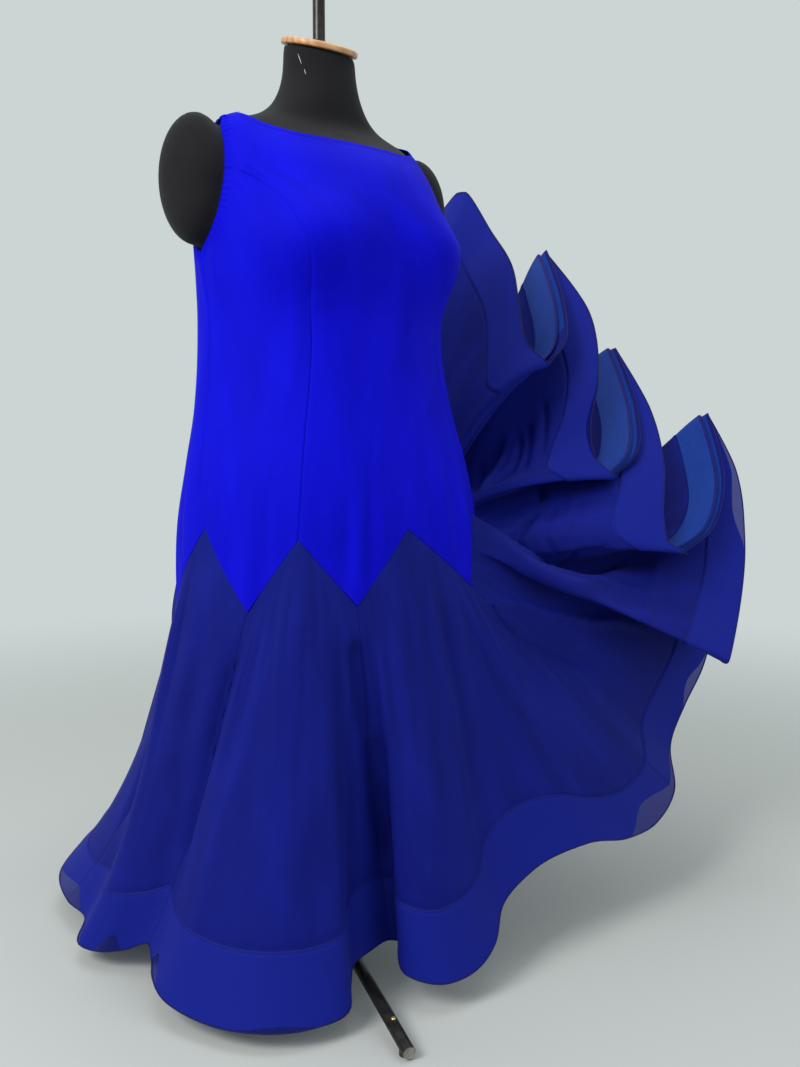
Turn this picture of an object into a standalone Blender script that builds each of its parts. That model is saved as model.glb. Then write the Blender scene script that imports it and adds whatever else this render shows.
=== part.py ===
"""A sleeveless ball gown on a limbless dress form with its pole and low tripod stand.

The gown's skirt hangs to the floor at the wearer's right and is lifted at the wearer's left, where
its stiffened hem stands in waves. Metres, +Z up, the wearer faces -Y, the wearer's left is +X.
"""

import math

import bmesh
import bpy
import numpy as np

# Walls and clearances
BODICE_WALL = 0.0015
SKIRT_WALL = 0.0010
BAND_WALL = 0.0010
BODICE_CLEAR = 0.0010
SEAM_GAP = 0.0004
HIP_GAP = 0.0007
LAYER_GAP = 0.0003
BAND_WIDTH = 0.105
BAND_STAND_OFF = 0.0015
FORM_CLEAR = 0.0037

# Body of the gown and of the form, from the bottom up. The form is drawn in by the inset.
BODY_COLUMNS = ("z", "half_width", "front", "back", "inset")
BODY_ROWS = (
    (0.560, 0.238, 0.206, 0.168, 0.070),
    (0.600, 0.239, 0.208, 0.170, 0.045),
    (0.615, 0.239, 0.208, 0.170, 0.030),
    (0.640, 0.239, 0.208, 0.170, 0.016),
    (0.680, 0.238, 0.208, 0.169, 0.005),
    (0.720, 0.236, 0.207, 0.167, 0.000),
    (0.800, 0.226, 0.196, 0.159, 0.000),
    (0.880, 0.2115, 0.180, 0.151, 0.000),
    (0.960, 0.2025, 0.168, 0.147, 0.000),
    (1.020, 0.200, 0.165, 0.147, 0.000),
    (1.080, 0.201, 0.171, 0.152, 0.000),
    (1.140, 0.2025, 0.173, 0.160, 0.000),
    (1.200, 0.1995, 0.156, 0.160, 0.000),
    (1.240, 0.195, 0.131, 0.146, 0.000),
    (1.270, 0.1885, 0.100, 0.122, 0.000),
    (1.290, 0.1805, 0.076, 0.094, 0.000),
    (1.302, 0.168, 0.063, 0.075, 0.000),
    (1.311, 0.146, 0.055, 0.062, 0.000),
    (1.319, 0.121, 0.052, 0.055, 0.000),
    (1.332, 0.0985, 0.053, 0.053, 0.000),
    (1.357, 0.077, 0.054, 0.054, 0.000),
    (1.380, 0.0665, 0.055, 0.055, 0.000),
    (1.420, 0.0600, 0.056, 0.056, 0.000),
    (1.470, 0.0590, 0.056, 0.056, 0.000),
)
BOX_FRONT = 0.055
BOX_BACK = -0.050
BOX_TOP = 1.02
BOX_FADE = 0.25
BUST_ANGLE = 37.0
BUST_Z = 1.115
BUST_OUT = 0.033
BUST_SIDEWAYS = 0.5
BUST_SPREAD = 27.0
BUST_EASE = 0.004
BUST_RISE = 0.062
FORM_BOTTOM = 0.600
TURN_STEP = 0.5
RISE_STEP = 0.002
HANG_TOP = 0.90
HANG_FADE = 0.22
FOLD_REACH = 2.0
LIFT_LEAN = 0.2

# Corners of the drop-hip seam round the body: angle from the centre front towards the wearer's
# left, height, and how far the hanging cloth stands off the body there.
HIP_COLUMNS = ("angle", "z", "off")
HIP_CORNERS = (
    (-20.6, 0.603, 0.000),
    (0.0, 0.709, 0.000),
    (32.0, 0.612, 0.012),
    (42.0, 0.722, 0.003),
    (60.0, 0.605, 0.010),
    (82.0, 0.722, 0.000),
    (108.0, 0.605, 0.004),
    (136.0, 0.722, 0.000),
    (158.0, 0.605, 0.004),
    (180.0, 0.718, 0.000),
    (202.0, 0.600, 0.004),
    (224.0, 0.715, 0.000),
    (252.0, 0.580, 0.004),
    (281.0, 0.712, 0.000),
    (302.0, 0.597, 0.000),
    (319.5, 0.700, 0.000),
)
GORE_NAMES = (
    "gore_front",
    "gore_princess_left",
    "gore_side_left",
    "gore_back_left",
    "gore_back",
    "gore_back_right",
    "gore_side_right",
    "gore_princess_right",
)

# Ribs of the skirt, one row for each crest, hollow or side of a fold, round from the seam at the
# right of the front gore: where the rib leaves the hip (degrees), where it meets the hem, and how
# far its two inner control points stand off the straight line between its ends (millimetres).
RIB_COLUMNS = ("angle", "x", "y", "z", "x_1", "y_1", "z_1", "x_2", "y_2", "z_2")
RIBS = (
    (-20.6, 2, -166, 75, 2, 10, 0, -1, 10, 0),
    (-19.2, 17, -177, 71, 1, 5, 0, 0, 8, 0),
    (-17.0, 3, -193, 66, 0, 0, 0, 0, 5, 0),
    (-13.0, -20, -234, 54, 0, 0, 0, 1, 8, 0),
    (-6.0, 6, -276, 46, 0, 0, 0, 0, 15, 0),
    (2.0, 56, -288, 50, 0, 0, 0, -4, 20, 0),
    (8.0, 111, -278, 71, 0, 0, 0, -7, 19, 0),
    (13.0, 150, -257, 115, 0, 0, 0, -10, 17, 0),
    (17.0, 217, -257, 153, 0, 0, 0, -16, 19, 0),
    (21.0, 337, -269, 171, 0, 0, 0, -23, 19, 0),
    (25.0, 449, -265, 150, 0, 0, 0, -17, 10, 0),
    (29.0, 551, -252, 151, 0, 0, 0, -9, 4, 0),
    (32.0, 636, -227, 185, 0, 0, 0, 0, 0, 0),
    (33.0, 688, -179, 250, 0, 0, 0, 0, 0, 0),
    (34.0, 753, -164, 315, 0, 0, 0, 0, 0, 0),
    (35.0, 807, -166, 381, 0, 0, 0, 6, 8, 0),
    (35.75, 848, -165, 458, 0, 0, 10, 12, 16, 10),
    (36.25, 842, -173, 458, 0, 0, 10, 12, 16, 10),
    (36.7, 761, -244, 455, 0, 0, 0, 0, 0, 0),
    (37.2, 681, -299, 438, 0, 0, 0, 0, 0, 0),
    (37.8, 671, -313, 438, 0, 0, 0, 0, 0, 0),
    (42.0, 758, -279, 518, 0, 0, -60, 6, 8, -40),
    (48.0, 846, -232, 641, 0, 0, -110, 12, 16, -70),
    (57.0, 892, -179, 775, 0, 0, -150, 18, 24, -100),
    (60.4, 882, -115, 890, 9, 12, -130, 18, 24, 12),
    (61.8, 876, -123, 890, 3, 4, -130, 18, 24, 12),
    (63.0, 813, -207, 758, 0, 0, -90, 0, 0, -40),
    (65.0, 718, -244, 669, -6, -8, -40, -6, -8, -10),
    (66.5, 623, -250, 634, -12, -16, 0, -12, -16, 20),
    (67.6, 612, -264, 634, -12, -16, 0, -12, -16, 20),
    (69.0, 578, -247, 654, -12, -16, 20, -12, -16, 30),
    (71.0, 591, -226, 693, -12, -16, 20, -12, -16, 20),
    (73.0, 651, -182, 780, -6, -8, 0, -6, -8, 0),
    (75.2, 724, -93, 894, 0, 0, -20, 0, 0, -20),
    (77.05, 742, 11, 1021, 6, 8, -62, 12, 16, 72),
    (77.75, 736, 3, 1021, 6, 8, -62, 12, 16, 72),
    (78.4, 680, -98, 893, 0, 0, -10, 0, 0, 0),
    (78.9, 603, -154, 808, -6, -8, 10, -6, -8, 5),
    (79.6, 536, -157, 768, -14, -18, 30, -14, -18, 20),
    (80.4, 526, -171, 768, -14, -18, 30, -14, -18, 20),
    (82.5, 504, -144, 797, -18, -24, 25, -18, -24, 15),
    (86.0, 521, -113, 854, -18, -24, 20, -18, -24, -10),
    (91.0, 568, -91, 947, -12, -16, 20, -12, -16, -20),
    (96.0, 625, -22, 1076, -6, -8, 0, 0, 0, -30),
    (100.6, 626, 100, 1213, 0, 0, -48, 12, 16, 105),
    (101.3, 616, 86, 1213, 0, 0, -28, 12, 16, 110),
    (104.0, 567, -4, 1101, 0, 0, 70, 0, 0, 30),
    (107.0, 494, -69, 1008, -6, -8, 110, -6, -8, 60),
    (109.4, 447, -73, 968, 35, 0, 150, -12, -16, 100),
    (110.6, 437, -87, 968, 33, 1, 150, -12, -16, 100),
    (114.0, 423, -48, 1006, 59, 15, 130, -12, -16, 60),
    (120.0, 441, -11, 1072, 46, 22, 100, -6, -8, 20),
    (128.0, 466, 32, 1155, 55, 43, 60, 0, 0, 0),
    (137.0, 488, 115, 1239, 28, 30, 30, 0, 0, 0),
    (145.4, 474, 170, 1316, 25, 37, 0, 0, 0, 30),
    (146.6, 468, 183, 1316, 25, 37, 0, 0, 0, 30),
    (153.0, 425, 290, 1190, 20, 40, 0, 0, 0, 0),
    (158.0, 365, 410, 1030, 17, 42, 0, 0, 0, 0),
    (162.5, 300, 402, 1040, 14, 43, 0, 0, 0, 0),
    (167.0, 242, 350, 1108, 10, 44, 0, 0, 0, 0),
    (169.5, 214, 372, 1100, 8, 44, 0, 0, 0, 0),
    (172.0, 225, 470, 990, 6, 45, 0, 0, 0, 0),
    (176.0, 215, 590, 830, 3, 45, 0, 0, 0, 0),
    (180.0, 185, 620, 740, 0, 45, 0, 0, 0, 0),
    (185.0, 120, 560, 740, -3, 36, 0, 0, 0, 0),
    (189.0, 88, 500, 768, -5, 28, 0, 0, 0, 0),
    (191.3, 68, 512, 758, -5, 24, 0, 0, 0, 0),
    (194.0, 84, 590, 620, -5, 19, 0, 0, 0, 0),
    (198.0, 104, 690, 460, -4, 12, 0, 0, 0, 0),
    (202.0, 108, 705, 375, -2, 5, 0, 0, 0, 0),
    (207.0, 55, 640, 365, 0, 0, 0, 0, 0, 0),
    (212.0, 12, 565, 370, 0, 0, 0, 0, 0, 0),
    (218.0, 0, 620, 240, 0, 0, 0, 0, -20, 0),
    (224.0, -10, 655, 150, 0, 0, 0, 0, -30, 0),
    (230.0, -60, 600, 110, 6, -8, 0, 4, -40, 0),
    (242.0, -188, 517, 70, 22, -20, 0, 24, -66, 0),
    (247.0, -260, 451, 50, 32, -24, 0, 40, -69, 0),
    (252.0, -288, 355, 40, 26, -16, 0, 44, -54, 0),
    (262.0, -293, 269, 40, 19, -5, 0, 37, -34, 0),
    (272.0, -331, 207, 30, 10, 0, 0, 34, -21, 0),
    (281.0, -318, 165, 32, 10, 1, 0, 27, -14, 0),
    (291.0, -293, 131, 40, 10, 3, 0, 18, -8, 0),
    (302.0, -273, 79, 60, 9, 5, 0, 19, -6, 0),
    (305.0, -281, 54, 50, 0, 0, 0, 10, -2, 0),
    (309.0, -304, 7, 45, 0, 0, 0, 20, 0, 0),
    (313.0, -316, -45, 40, 0, 0, 0, 25, 4, 0),
    (317.0, -298, -113, 30, 0, 0, 0, 28, 11, 0),
    (319.5, -261, -183, 30, 0, 0, 0, 25, 17, 0),
    (325.0, -192, -228, 30, 0, 0, 0, 19, 23, 0),
    (330.0, -136, -234, 35, 0, 0, 0, 13, 22, 0),
    (334.0, -106, -199, 50, 0, 0, 0, 7, 13, 0),
    (337.0, -71, -166, 60, 1, 5, 0, 4, 9, 0),
    (338.0, -42, -166, 70, 1, 5, 0, 2, 10, 0),
)


def column(rows, names, name):
    return np.array([row[names.index(name)] for row in rows], float)


def slopes(x, y):
    """Slopes of a smooth curve through the points, each from its two neighbours."""
    step = np.diff(x)
    rise = np.diff(y, axis=0) / step.reshape((-1,) + (1,) * (y.ndim - 1))
    m = np.empty_like(y)
    w0 = step[1:].reshape((-1,) + (1,) * (y.ndim - 1))
    w1 = step[:-1].reshape((-1,) + (1,) * (y.ndim - 1))
    m[1:-1] = (rise[:-1] * w0 + rise[1:] * w1) / (w0 + w1)
    m[0] = rise[0]
    m[-1] = rise[-1]
    return m


def smooth(x, y, at, reach=1e9):
    """The smooth curve through (x, y) at the given places. A slope carries at most the reach times
    the shorter of the two steps beside its point, so that a short step stays a tight turn."""
    x = np.asarray(x, float)
    y = np.asarray(y, float)
    at = np.clip(np.asarray(at, float), x[0], x[-1])
    m = slopes(x, y)
    i = np.clip(np.searchsorted(x, at, side="right") - 1, 0, len(x) - 2)
    step = np.diff(x)
    s = (at - x[i]) / step[i]
    before = np.minimum(step[i], reach * step[np.maximum(i - 1, 0)])
    after = np.minimum(step[i], reach * step[np.minimum(i + 1, len(step) - 1)])
    if y.ndim > 1:
        before, after, s = before[..., None], after[..., None], s[..., None]
    return (
        y[i] * (1 + 2 * s) * (1 - s) ** 2
        + m[i] * before * s * (1 - s) ** 2
        + y[i + 1] * s**2 * (3 - 2 * s)
        + m[i + 1] * after * s**2 * (s - 1)
    )


def soft_step(x):
    x = np.clip(x, 0.0, 1.0)
    return x * x * (3 - 2 * x)


def unit(v):
    return v / np.maximum(np.linalg.norm(v, axis=-1, keepdims=True), 1e-12)


BODY = {name: column(BODY_ROWS, BODY_COLUMNS, name) for name in BODY_COLUMNS}


def body_raw(angle, z, inset):
    """A point of the body's skin, from its angle in degrees and its height."""
    draw = smooth(BODY["z"], BODY["inset"], z) * inset
    wide = smooth(BODY["z"], BODY["half_width"], z) - draw
    front = smooth(BODY["z"], BODY["front"], z) - draw
    back = smooth(BODY["z"], BODY["back"], z) - draw
    t = np.radians(angle)
    turned = (np.asarray(angle) + 180.0) % 360.0 - 180.0
    deep = np.where(np.cos(t) > 0, front, back)
    side = np.exp(-(((np.abs(turned) - BUST_ANGLE) / BUST_SPREAD) ** 2))
    high = np.exp(-(((z - BUST_Z) / BUST_RISE) ** 2))
    bust = (BUST_OUT - BUST_EASE * inset) * side * high
    x = wide * np.sin(t) + bust * np.sin(t) * BUST_SIDEWAYS
    y = -deep * np.cos(t) - bust
    box = np.where(np.cos(t) > 0, BOX_FRONT, BOX_BACK) * soft_step((BOX_TOP - z) / BOX_FADE)
    full = 1.0 + box * np.sin(2.0 * t) ** 2
    x = x * full
    y = y * full
    return np.stack([x, y, z + 0 * x], axis=-1)


def body_at(angle, z, out, inset=0.0):
    """A point moved out from the body's skin along its normal."""
    angle = np.asarray(angle, float)
    z = np.asarray(z, float)
    angle, z = np.broadcast_arrays(angle, z)
    across = body_raw(angle + TURN_STEP, z, inset) - body_raw(angle - TURN_STEP, z, inset)
    upward = body_raw(angle, z + RISE_STEP, inset) - body_raw(angle, z - RISE_STEP, inset)
    normal = unit(np.cross(across, upward))
    return body_raw(angle, z, inset) + normal * np.asarray(out)[..., None], normal


HIP = {name: column(HIP_CORNERS, HIP_COLUMNS, name) for name in HIP_COLUMNS}


def round_hip(name, angle):
    a = np.append(HIP["angle"], HIP["angle"][0] + 360.0)
    v = np.append(HIP[name], HIP[name][0])
    return np.interp((np.asarray(angle) - a[0]) % 360.0 + a[0], a, v)


def hang_off(angle, z):
    """How far the hanging cloth stands off the body, fading out above the seam."""
    return round_hip("off", angle) * soft_step((HANG_TOP - np.asarray(z)) / HANG_FADE)


def hip_seam(angle):
    """The zigzag seam between bodice and skirt: its points, normals and heights."""
    z = round_hip("z", angle)
    out = BODICE_CLEAR + BODICE_WALL / 2 + hang_off(angle, z)
    point, normal = body_at(angle, z, out)
    return point, normal, z


def skirt_curves():
    """The control curves of the skirt, closed round on themselves."""
    rib = {name: column(RIBS, RIB_COLUMNS, name) for name in RIB_COLUMNS}
    angle = np.append(rib["angle"], rib["angle"][0] + 360.0)
    hem = np.stack([rib["x"], rib["y"], rib["z"]], axis=-1) / 1000.0
    bow = np.stack([rib[name] for name in RIB_COLUMNS[4:]], axis=-1) / 1000.0
    hem = np.vstack([hem, hem[:1]])
    bow = np.vstack([bow, bow[:1]])
    along = np.concatenate([[0.0], np.cumsum(np.linalg.norm(np.diff(hem, axis=0), axis=1))])
    return along / along[-1], angle, hem, bow


RIB_U, RIB_ANGLE, RIB_HEM, RIB_BOW = skirt_curves()


def closed_smooth(values, u):
    """The closed smooth curve through one value at each rib."""
    x = np.concatenate([RIB_U[-4:-1] - 1.0, RIB_U, RIB_U[1:4] + 1.0])
    y = np.concatenate([values[-4:-1], values, values[1:4]])
    return smooth(x, y, u, FOLD_REACH)


def skirt_at(u, v):
    """Points of the skirt's middle surface: u goes round it and v runs from the hip to the hem."""
    u = np.asarray(u, float)
    v = np.asarray(v, float)
    angle = np.interp(u, RIB_U, RIB_ANGLE)
    start, square, _ = hip_seam(angle)
    hem = closed_smooth(RIB_HEM, u)
    bow = closed_smooth(RIB_BOW, u)
    lead = (hem - start) / 3 + bow[..., :3]
    short = LIFT_LEAN * np.maximum(lead[..., 2], 0.0) - (lead * square).sum(axis=-1)
    c1 = start + lead + square * np.maximum(short, 0.0)[..., None]
    c2 = start + (hem - start) * 2 / 3 + bow[..., 3:]
    v = v[..., None]
    return (
        start * (1 - v) ** 3
        + 3 * c1 * v * (1 - v) ** 2
        + 3 * c2 * v**2 * (1 - v)
        + hem * v**3
    )


# Edges of the bodice panels: angle round the body and height.
PRINCESS_FRONT = (
    (40.5, 0.722),
    (38.4, 0.833),
    (35.8, 0.929),
    (35.0, 0.970),
    (37.0, 1.058),
    (40.5, 1.115),
    (43.5, 1.138),
    (47.5, 1.165),
    (55.5, 1.193),
    (65.0, 1.213),
    (75.0, 1.221),
)
SIDE_SEAM = (
    (79.0, 0.712),
    (84.0, 0.774),
    (86.0, 0.839),
    (87.0, 0.934),
    (88.5, 1.020),
    (94.7, 1.109),
)
PRINCESS_BACK = (
    (136.0, 0.722),
    (138.0, 0.850),
    (140.0, 0.960),
    (138.0, 1.060),
    (130.0, 1.140),
    (123.5, 1.190),
    (122.0, 1.205),
)
ARMHOLE_FRONT = ((75.0, 1.221), (75.5, 1.250), (79.0, 1.276), (84.0, 1.292), (90.0, 1.300))
ARMHOLE_UNDER_FRONT = ((75.0, 1.221), (76.5, 1.196), (80.0, 1.160), (85.5, 1.134), (94.7, 1.109))
ARMHOLE_UNDER_BACK = ((94.7, 1.109), (108.0, 1.133), (116.0, 1.158), (122.0, 1.205))
ARMHOLE_BACK = ((122.0, 1.205), (121.0, 1.240), (114.0, 1.270), (106.0, 1.290), (90.0, 1.300))
NECK_FRONT = (
    (0.00, 90.0, 1.3000),
    (0.05, 90.0, 1.3055),
    (0.10, 90.0, 1.3105),
    (0.16, 62.0, 1.3000),
    (0.22, 47.0, 1.2860),
    (0.30, 32.0, 1.2750),
    (0.40, 15.0, 1.2720),
    (0.50, 0.0, 1.2710),
)
NECK_BACK = (
    (0.00, 90.0, 1.3000),
    (0.05, 90.0, 1.3055),
    (0.10, 90.0, 1.3105),
    (0.16, 117.0, 1.3010),
    (0.22, 131.0, 1.2900),
    (0.30, 146.0, 1.2760),
    (0.40, 164.0, 1.2660),
    (0.50, 180.0, 1.2630),
)

# Dress form: arm stubs, neck cap, pole and tripod
STUB_CENTRE = (0.208, 0.020, 1.213)
STUB_RADII = (0.050, 0.060, 0.094)
FORM_STEP = 12.0
NECK_TOP = 1.432
NECK_TILT = 16.7
CAP_RADIUS = 0.0595
CAP_EDGE = 0.009
CAP_DOME = 0.005
POLE_RADIUS = 0.0095
POLE_TOP = 1.600
POLE_SEAT_LOW = 1.30
POLE_SEAT_HIGH = 1.70
LOWER_POLE_RADIUS = 0.0125
HUB_RADIUS = 0.027
HUB_BOTTOM = 0.032
HUB_TOP = 0.110
LEG_RADIUS = 0.0095
LEG_REACH = 0.3576
LEG_END_Z = 0.0125
LEG_HUB_Z = 0.068
LEG_ANGLE = -107.6
LEG_COUNT = 3
PAD_RADIUS = 0.0075
PAD_HEIGHT = 0.009
PAD_REACH = 0.340
MATE_GAP = 0.0003

# From the pole's axis to the frame's origin, which lies under the middle of the whole object
PLACE_X = -0.2810
PLACE_Y = -0.1806

# Sampling of the skirt down its ribs, above the hem band and within it, and of the bodice panels
SKIRT_STEPS = (0.0, 0.08, 0.21, 0.38, 0.58, 0.79, 1.0)
BAND_STEPS = (0.0, 0.5, 1.0)
SEAM_POINTS = 13
ARMHOLE_POINTS = 7
WIDE_POINTS = 19
PLACE_STEP = 0.0004
PATCH_FADE = 3
MITRE_LIMIT = 1.0
BEND_GAP = 0.0018
SLANT_LIMIT = 0.35
LIFT_GAP = 0.0042
SIDE_POINTS = 9
DEGREE_LENGTH = 0.0033
PIN_FADE = 0.16

# Colours: red, green, blue, metallic, roughness
COLOURS = {
    "bodice": (0.006, 0.004, 0.60, 0.0, 0.55),
    "skirt": (0.012, 0.016, 0.24, 0.0, 0.70),
    "band": (0.010, 0.090, 0.42, 0.0, 0.45),
    "jersey": (0.012, 0.012, 0.014, 0.0, 0.90),
    "wood": (0.45, 0.22, 0.09, 0.0, 0.50),
    "steel": (0.020, 0.018, 0.017, 0.6, 0.35),
}


def clear_scene():
    for obj in list(bpy.data.objects):
        bpy.data.objects.remove(obj, do_unlink=True)
    for group in list(bpy.data.collections):
        bpy.data.collections.remove(group)


def collection(name):
    made = bpy.data.collections.new(name)
    bpy.context.scene.collection.children.link(made)
    return made


def material(name, colour):
    made = bpy.data.materials.new(name)
    made.use_nodes = True
    shader = made.node_tree.nodes["Principled BSDF"]
    shader.inputs["Base Color"].default_value = (*colour[:3], 1.0)
    shader.inputs["Metallic"].default_value = colour[3]
    shader.inputs["Roughness"].default_value = colour[4]
    return made


def mesh_object(name, points, faces, colour, group):
    data = bpy.data.meshes.new(name)
    data.from_pydata([tuple(p) for p in points], [], [tuple(f) for f in faces])
    data.update()
    mesh = bmesh.new()
    mesh.from_mesh(data)
    bmesh.ops.recalc_face_normals(mesh, faces=mesh.faces)
    mesh.to_mesh(data)
    mesh.free()
    made = bpy.data.objects.new(name, data)
    made.data.materials.append(material(name, COLOURS[colour]))
    group.objects.link(made)
    for face in data.polygons:
        face.use_smooth = True
    return made


def sheet(name, middle, normal, wall, colour, group, closed=False):
    """A wall made on a grid of points: half its thickness to each side, with its edges closed."""
    rows, columns = middle.shape[:2]
    outer = (middle + normal * wall / 2).reshape(-1, 3)
    inner = (middle - normal * wall / 2).reshape(-1, 3)
    points = np.vstack([outer, inner])
    other = rows * columns
    faces = []
    spans = rows if closed else rows - 1
    for i in range(spans):
        k = (i + 1) % rows
        for j in range(columns - 1):
            a, b = i * columns + j, i * columns + j + 1
            c, d = k * columns + j + 1, k * columns + j
            faces.extend([(a, b, c), (a, c, d)])
            faces.extend([(a + other, c + other, b + other), (a + other, d + other, c + other)])
        for j in (0, columns - 1):
            a, b = i * columns + j, k * columns + j
            face = (a, b, b + other, a + other)
            faces.append(face if j == 0 else face[::-1])
    if not closed:
        for i in (0, rows - 1):
            for j in range(columns - 1):
                a, b = i * columns + j, i * columns + j + 1
                face = (a, a + other, b + other, b)
                faces.append(face if i == 0 else face[::-1])
    return mesh_object(name, points, faces, colour, group)


def draw_in(grid, amount):
    """Moves the two side edges of a grid inwards, to leave the gap of a seam."""
    grid = grid.copy()
    first = unit(grid[1] - grid[0])
    last = unit(grid[-2] - grid[-1])
    grid[0] += first * amount
    grid[-1] += last * amount
    return grid


def draw_ends(grid, start, end):
    """Moves the first and last rows of a grid inwards along its columns."""
    grid = grid.copy()
    first = unit(grid[:, 1] - grid[:, 0])
    last = unit(grid[:, -2] - grid[:, -1])
    grid[:, 0] += first * start
    grid[:, -1] += last * end
    return grid


def grid_walls(grid):
    """The wall direction at each point of a closed grid, longer where the wall turns a corner."""
    ahead = unit(np.roll(grid, -1, axis=0) - grid)
    behind = unit(grid - np.roll(grid, 1, axis=0))
    lean = np.linalg.norm(ahead + behind, axis=-1, keepdims=True) / 2
    down = np.empty_like(grid)
    down[:, 1:-1] = unit(grid[:, 2:] - grid[:, 1:-1]) + unit(grid[:, 1:-1] - grid[:, :-2])
    down[:, 0] = grid[:, 1] - grid[:, 0]
    down[:, -1] = grid[:, -1] - grid[:, -2]
    return unit(np.cross(down, ahead + behind)) / np.maximum(lean, MITRE_LIMIT)


def hip_places():
    """Places round the skirt of each corner of the hip seam."""
    return np.interp(HIP["angle"], RIB_ANGLE, RIB_U)


def from_hem(u, length):
    """How far along each rib a given length measured up from the hem lies."""
    steps = np.linspace(0.5, 1.0, 41)
    uu, vv = np.meshgrid(u, steps, indexing="ij")
    points = skirt_at(uu, vv)
    gone = np.linalg.norm(np.diff(points, axis=1), axis=2)[:, ::-1].cumsum(axis=1)
    gone = np.hstack([np.zeros((len(u), 1)), gone])
    back = steps[::-1]
    return np.array([np.interp(length, row, back) for row in gone])


def skirt_places():
    """Places round the skirt: each rib, halfway to the next, and each corner of the hip seam."""
    places = np.concatenate([RIB_U, (RIB_U[:-1] + RIB_U[1:]) / 2])
    corners = np.append(hip_places(), 1.0)
    clear = np.abs(places[:, None] - corners[None, :]).min(axis=1) > PLACE_STEP
    return np.sort(np.concatenate([places[clear], corners]))


def gores_and_band(group):
    """The eight gores from one surface, and the hem band that lies inside all of them."""
    places = skirt_places()
    top = from_hem(places, BAND_WIDTH)[:, None]
    above = top * np.array(SKIRT_STEPS)
    within = top + (1.0 - top) * np.array(BAND_STEPS)
    down = np.hstack([above, within[:, 1:]])
    across = np.repeat(places[:, None], down.shape[1], axis=1)
    middle = skirt_at(across, down)
    normal = grid_walls(middle[:-1])
    normal = np.vstack([normal, normal[:1]])
    _, square, _ = hip_seam(np.interp(places, RIB_U, RIB_ANGLE))
    leave = unit(middle[:, 1] - middle[:, 0])
    bend = np.clip((leave * square).sum(axis=1), 0.0, 1.0)
    rise = np.clip(leave[:, 2], 0.0, 1.0)
    seam = unit(np.gradient(middle[:, 0], axis=0))
    slant = np.maximum(np.linalg.norm(np.cross(leave, seam), axis=1), SLANT_LIMIT)
    lead = HIP_GAP / 2 + (BODICE_WALL / 2 + BEND_GAP) * bend + LIFT_GAP * rise
    lead = (lead / slant)[:, None]
    seams = np.append(hip_places()[0::2], 1.0)
    for name, start, end in zip(GORE_NAMES, seams[:-1], seams[1:]):
        rows = (places > start - 1e-9) & (places < end + 1e-9)
        gore = draw_ends(draw_in(middle[rows], SEAM_GAP / 2), lead[rows], 0.0)
        sheet(name, gore, normal[rows], SKIRT_WALL, "skirt", group)
    middle, normal = middle[:-1, -len(BAND_STEPS):], normal[:-1, -len(BAND_STEPS):]
    off = SKIRT_WALL / 2 + LAYER_GAP + BAND_WALL / 2 + BAND_STAND_OFF * np.array(BAND_STEPS)
    sheet("hem_band", middle - normal * off[:, None], normal, BAND_WALL, "band", group, closed=True)


def along_table(table, count):
    """Points spread evenly in height order along an edge table of angle and height."""
    table = np.array(table, float)
    step = np.hypot(np.diff(table[:, 0]) * DEGREE_LENGTH, np.diff(table[:, 1]))
    gone = np.concatenate([[0.0], np.cumsum(step)])
    at = np.linspace(0.0, gone[-1], count)
    return smooth(gone, table, at)


def joined(first, second):
    """Points along a seam and then along the armhole above it."""
    return np.vstack([along_table(first, SEAM_POINTS), along_table(second, ARMHOLE_POINTS)[1:]])


def hip_edge(start, end, count):
    """The hip seam between two angles, with a point at each of its corners."""
    inner = [a for a in np.concatenate([HIP["angle"] - 360, HIP["angle"]]) if start < a < end]
    stops = np.array([start] + inner + [end])
    cells = np.maximum(1, np.round(np.diff(stops) / (end - start) * (count - 1)).astype(int))
    while cells.sum() > count - 1:
        cells[np.argmax(cells)] -= 1
    while cells.sum() < count - 1:
        cells[np.argmax(np.diff(stops) / cells)] += 1
    angle = [start]
    for a, b, n in zip(stops[:-1], stops[1:], cells):
        angle.extend(np.linspace(a, b, n + 1)[1:])
    angle = np.array(angle)
    return np.stack([angle, round_hip("z", angle)], axis=1)


def climb(edge):
    """How far up its own height each point of an edge is, from 0 to 1."""
    return (edge[:, 1] - edge[0, 1]) / (edge[-1, 1] - edge[0, 1])


def patch(bottom, top, left, right, evenness=0.0):
    """A grid of angles and heights between four edges, its rows evened out in the middle if asked."""
    u = np.linspace(0.0, 1.0, len(bottom))[:, None]
    v = np.linspace(0.0, 1.0, len(left))[None, :]
    sides = left[None, :, 0] * (1 - u) + right[None, :, 0] * u
    low = bottom[:, None, 0] - sides[:, :1]
    high = top[:, None, 0] - sides[:, -1:]
    angle = sides + low * (1 - v) ** PATCH_FADE + high * v**PATCH_FADE
    even = evenness * (4 * u * (1 - u)) ** 2
    rise = (climb(left) * (1 - u) + climb(right) * u) * (1 - even) + v * even
    z = bottom[:, None, 1] * (1 - rise) + top[:, None, 1] * rise
    return np.stack([angle, z], axis=-1)


def mirrored(edge):
    edge = np.array(edge, float)
    return edge * [-1.0, 1.0]


def pinned(edge, angle, z):
    """An edge whose first point is moved to a seam corner, the move fading out up the edge."""
    edge = edge.copy()
    fade = soft_step(1.0 - (edge[:, 1] - edge[0, 1]) / PIN_FADE)[:, None]
    return edge + (np.array([angle, z]) - edge[0]) * fade


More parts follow.
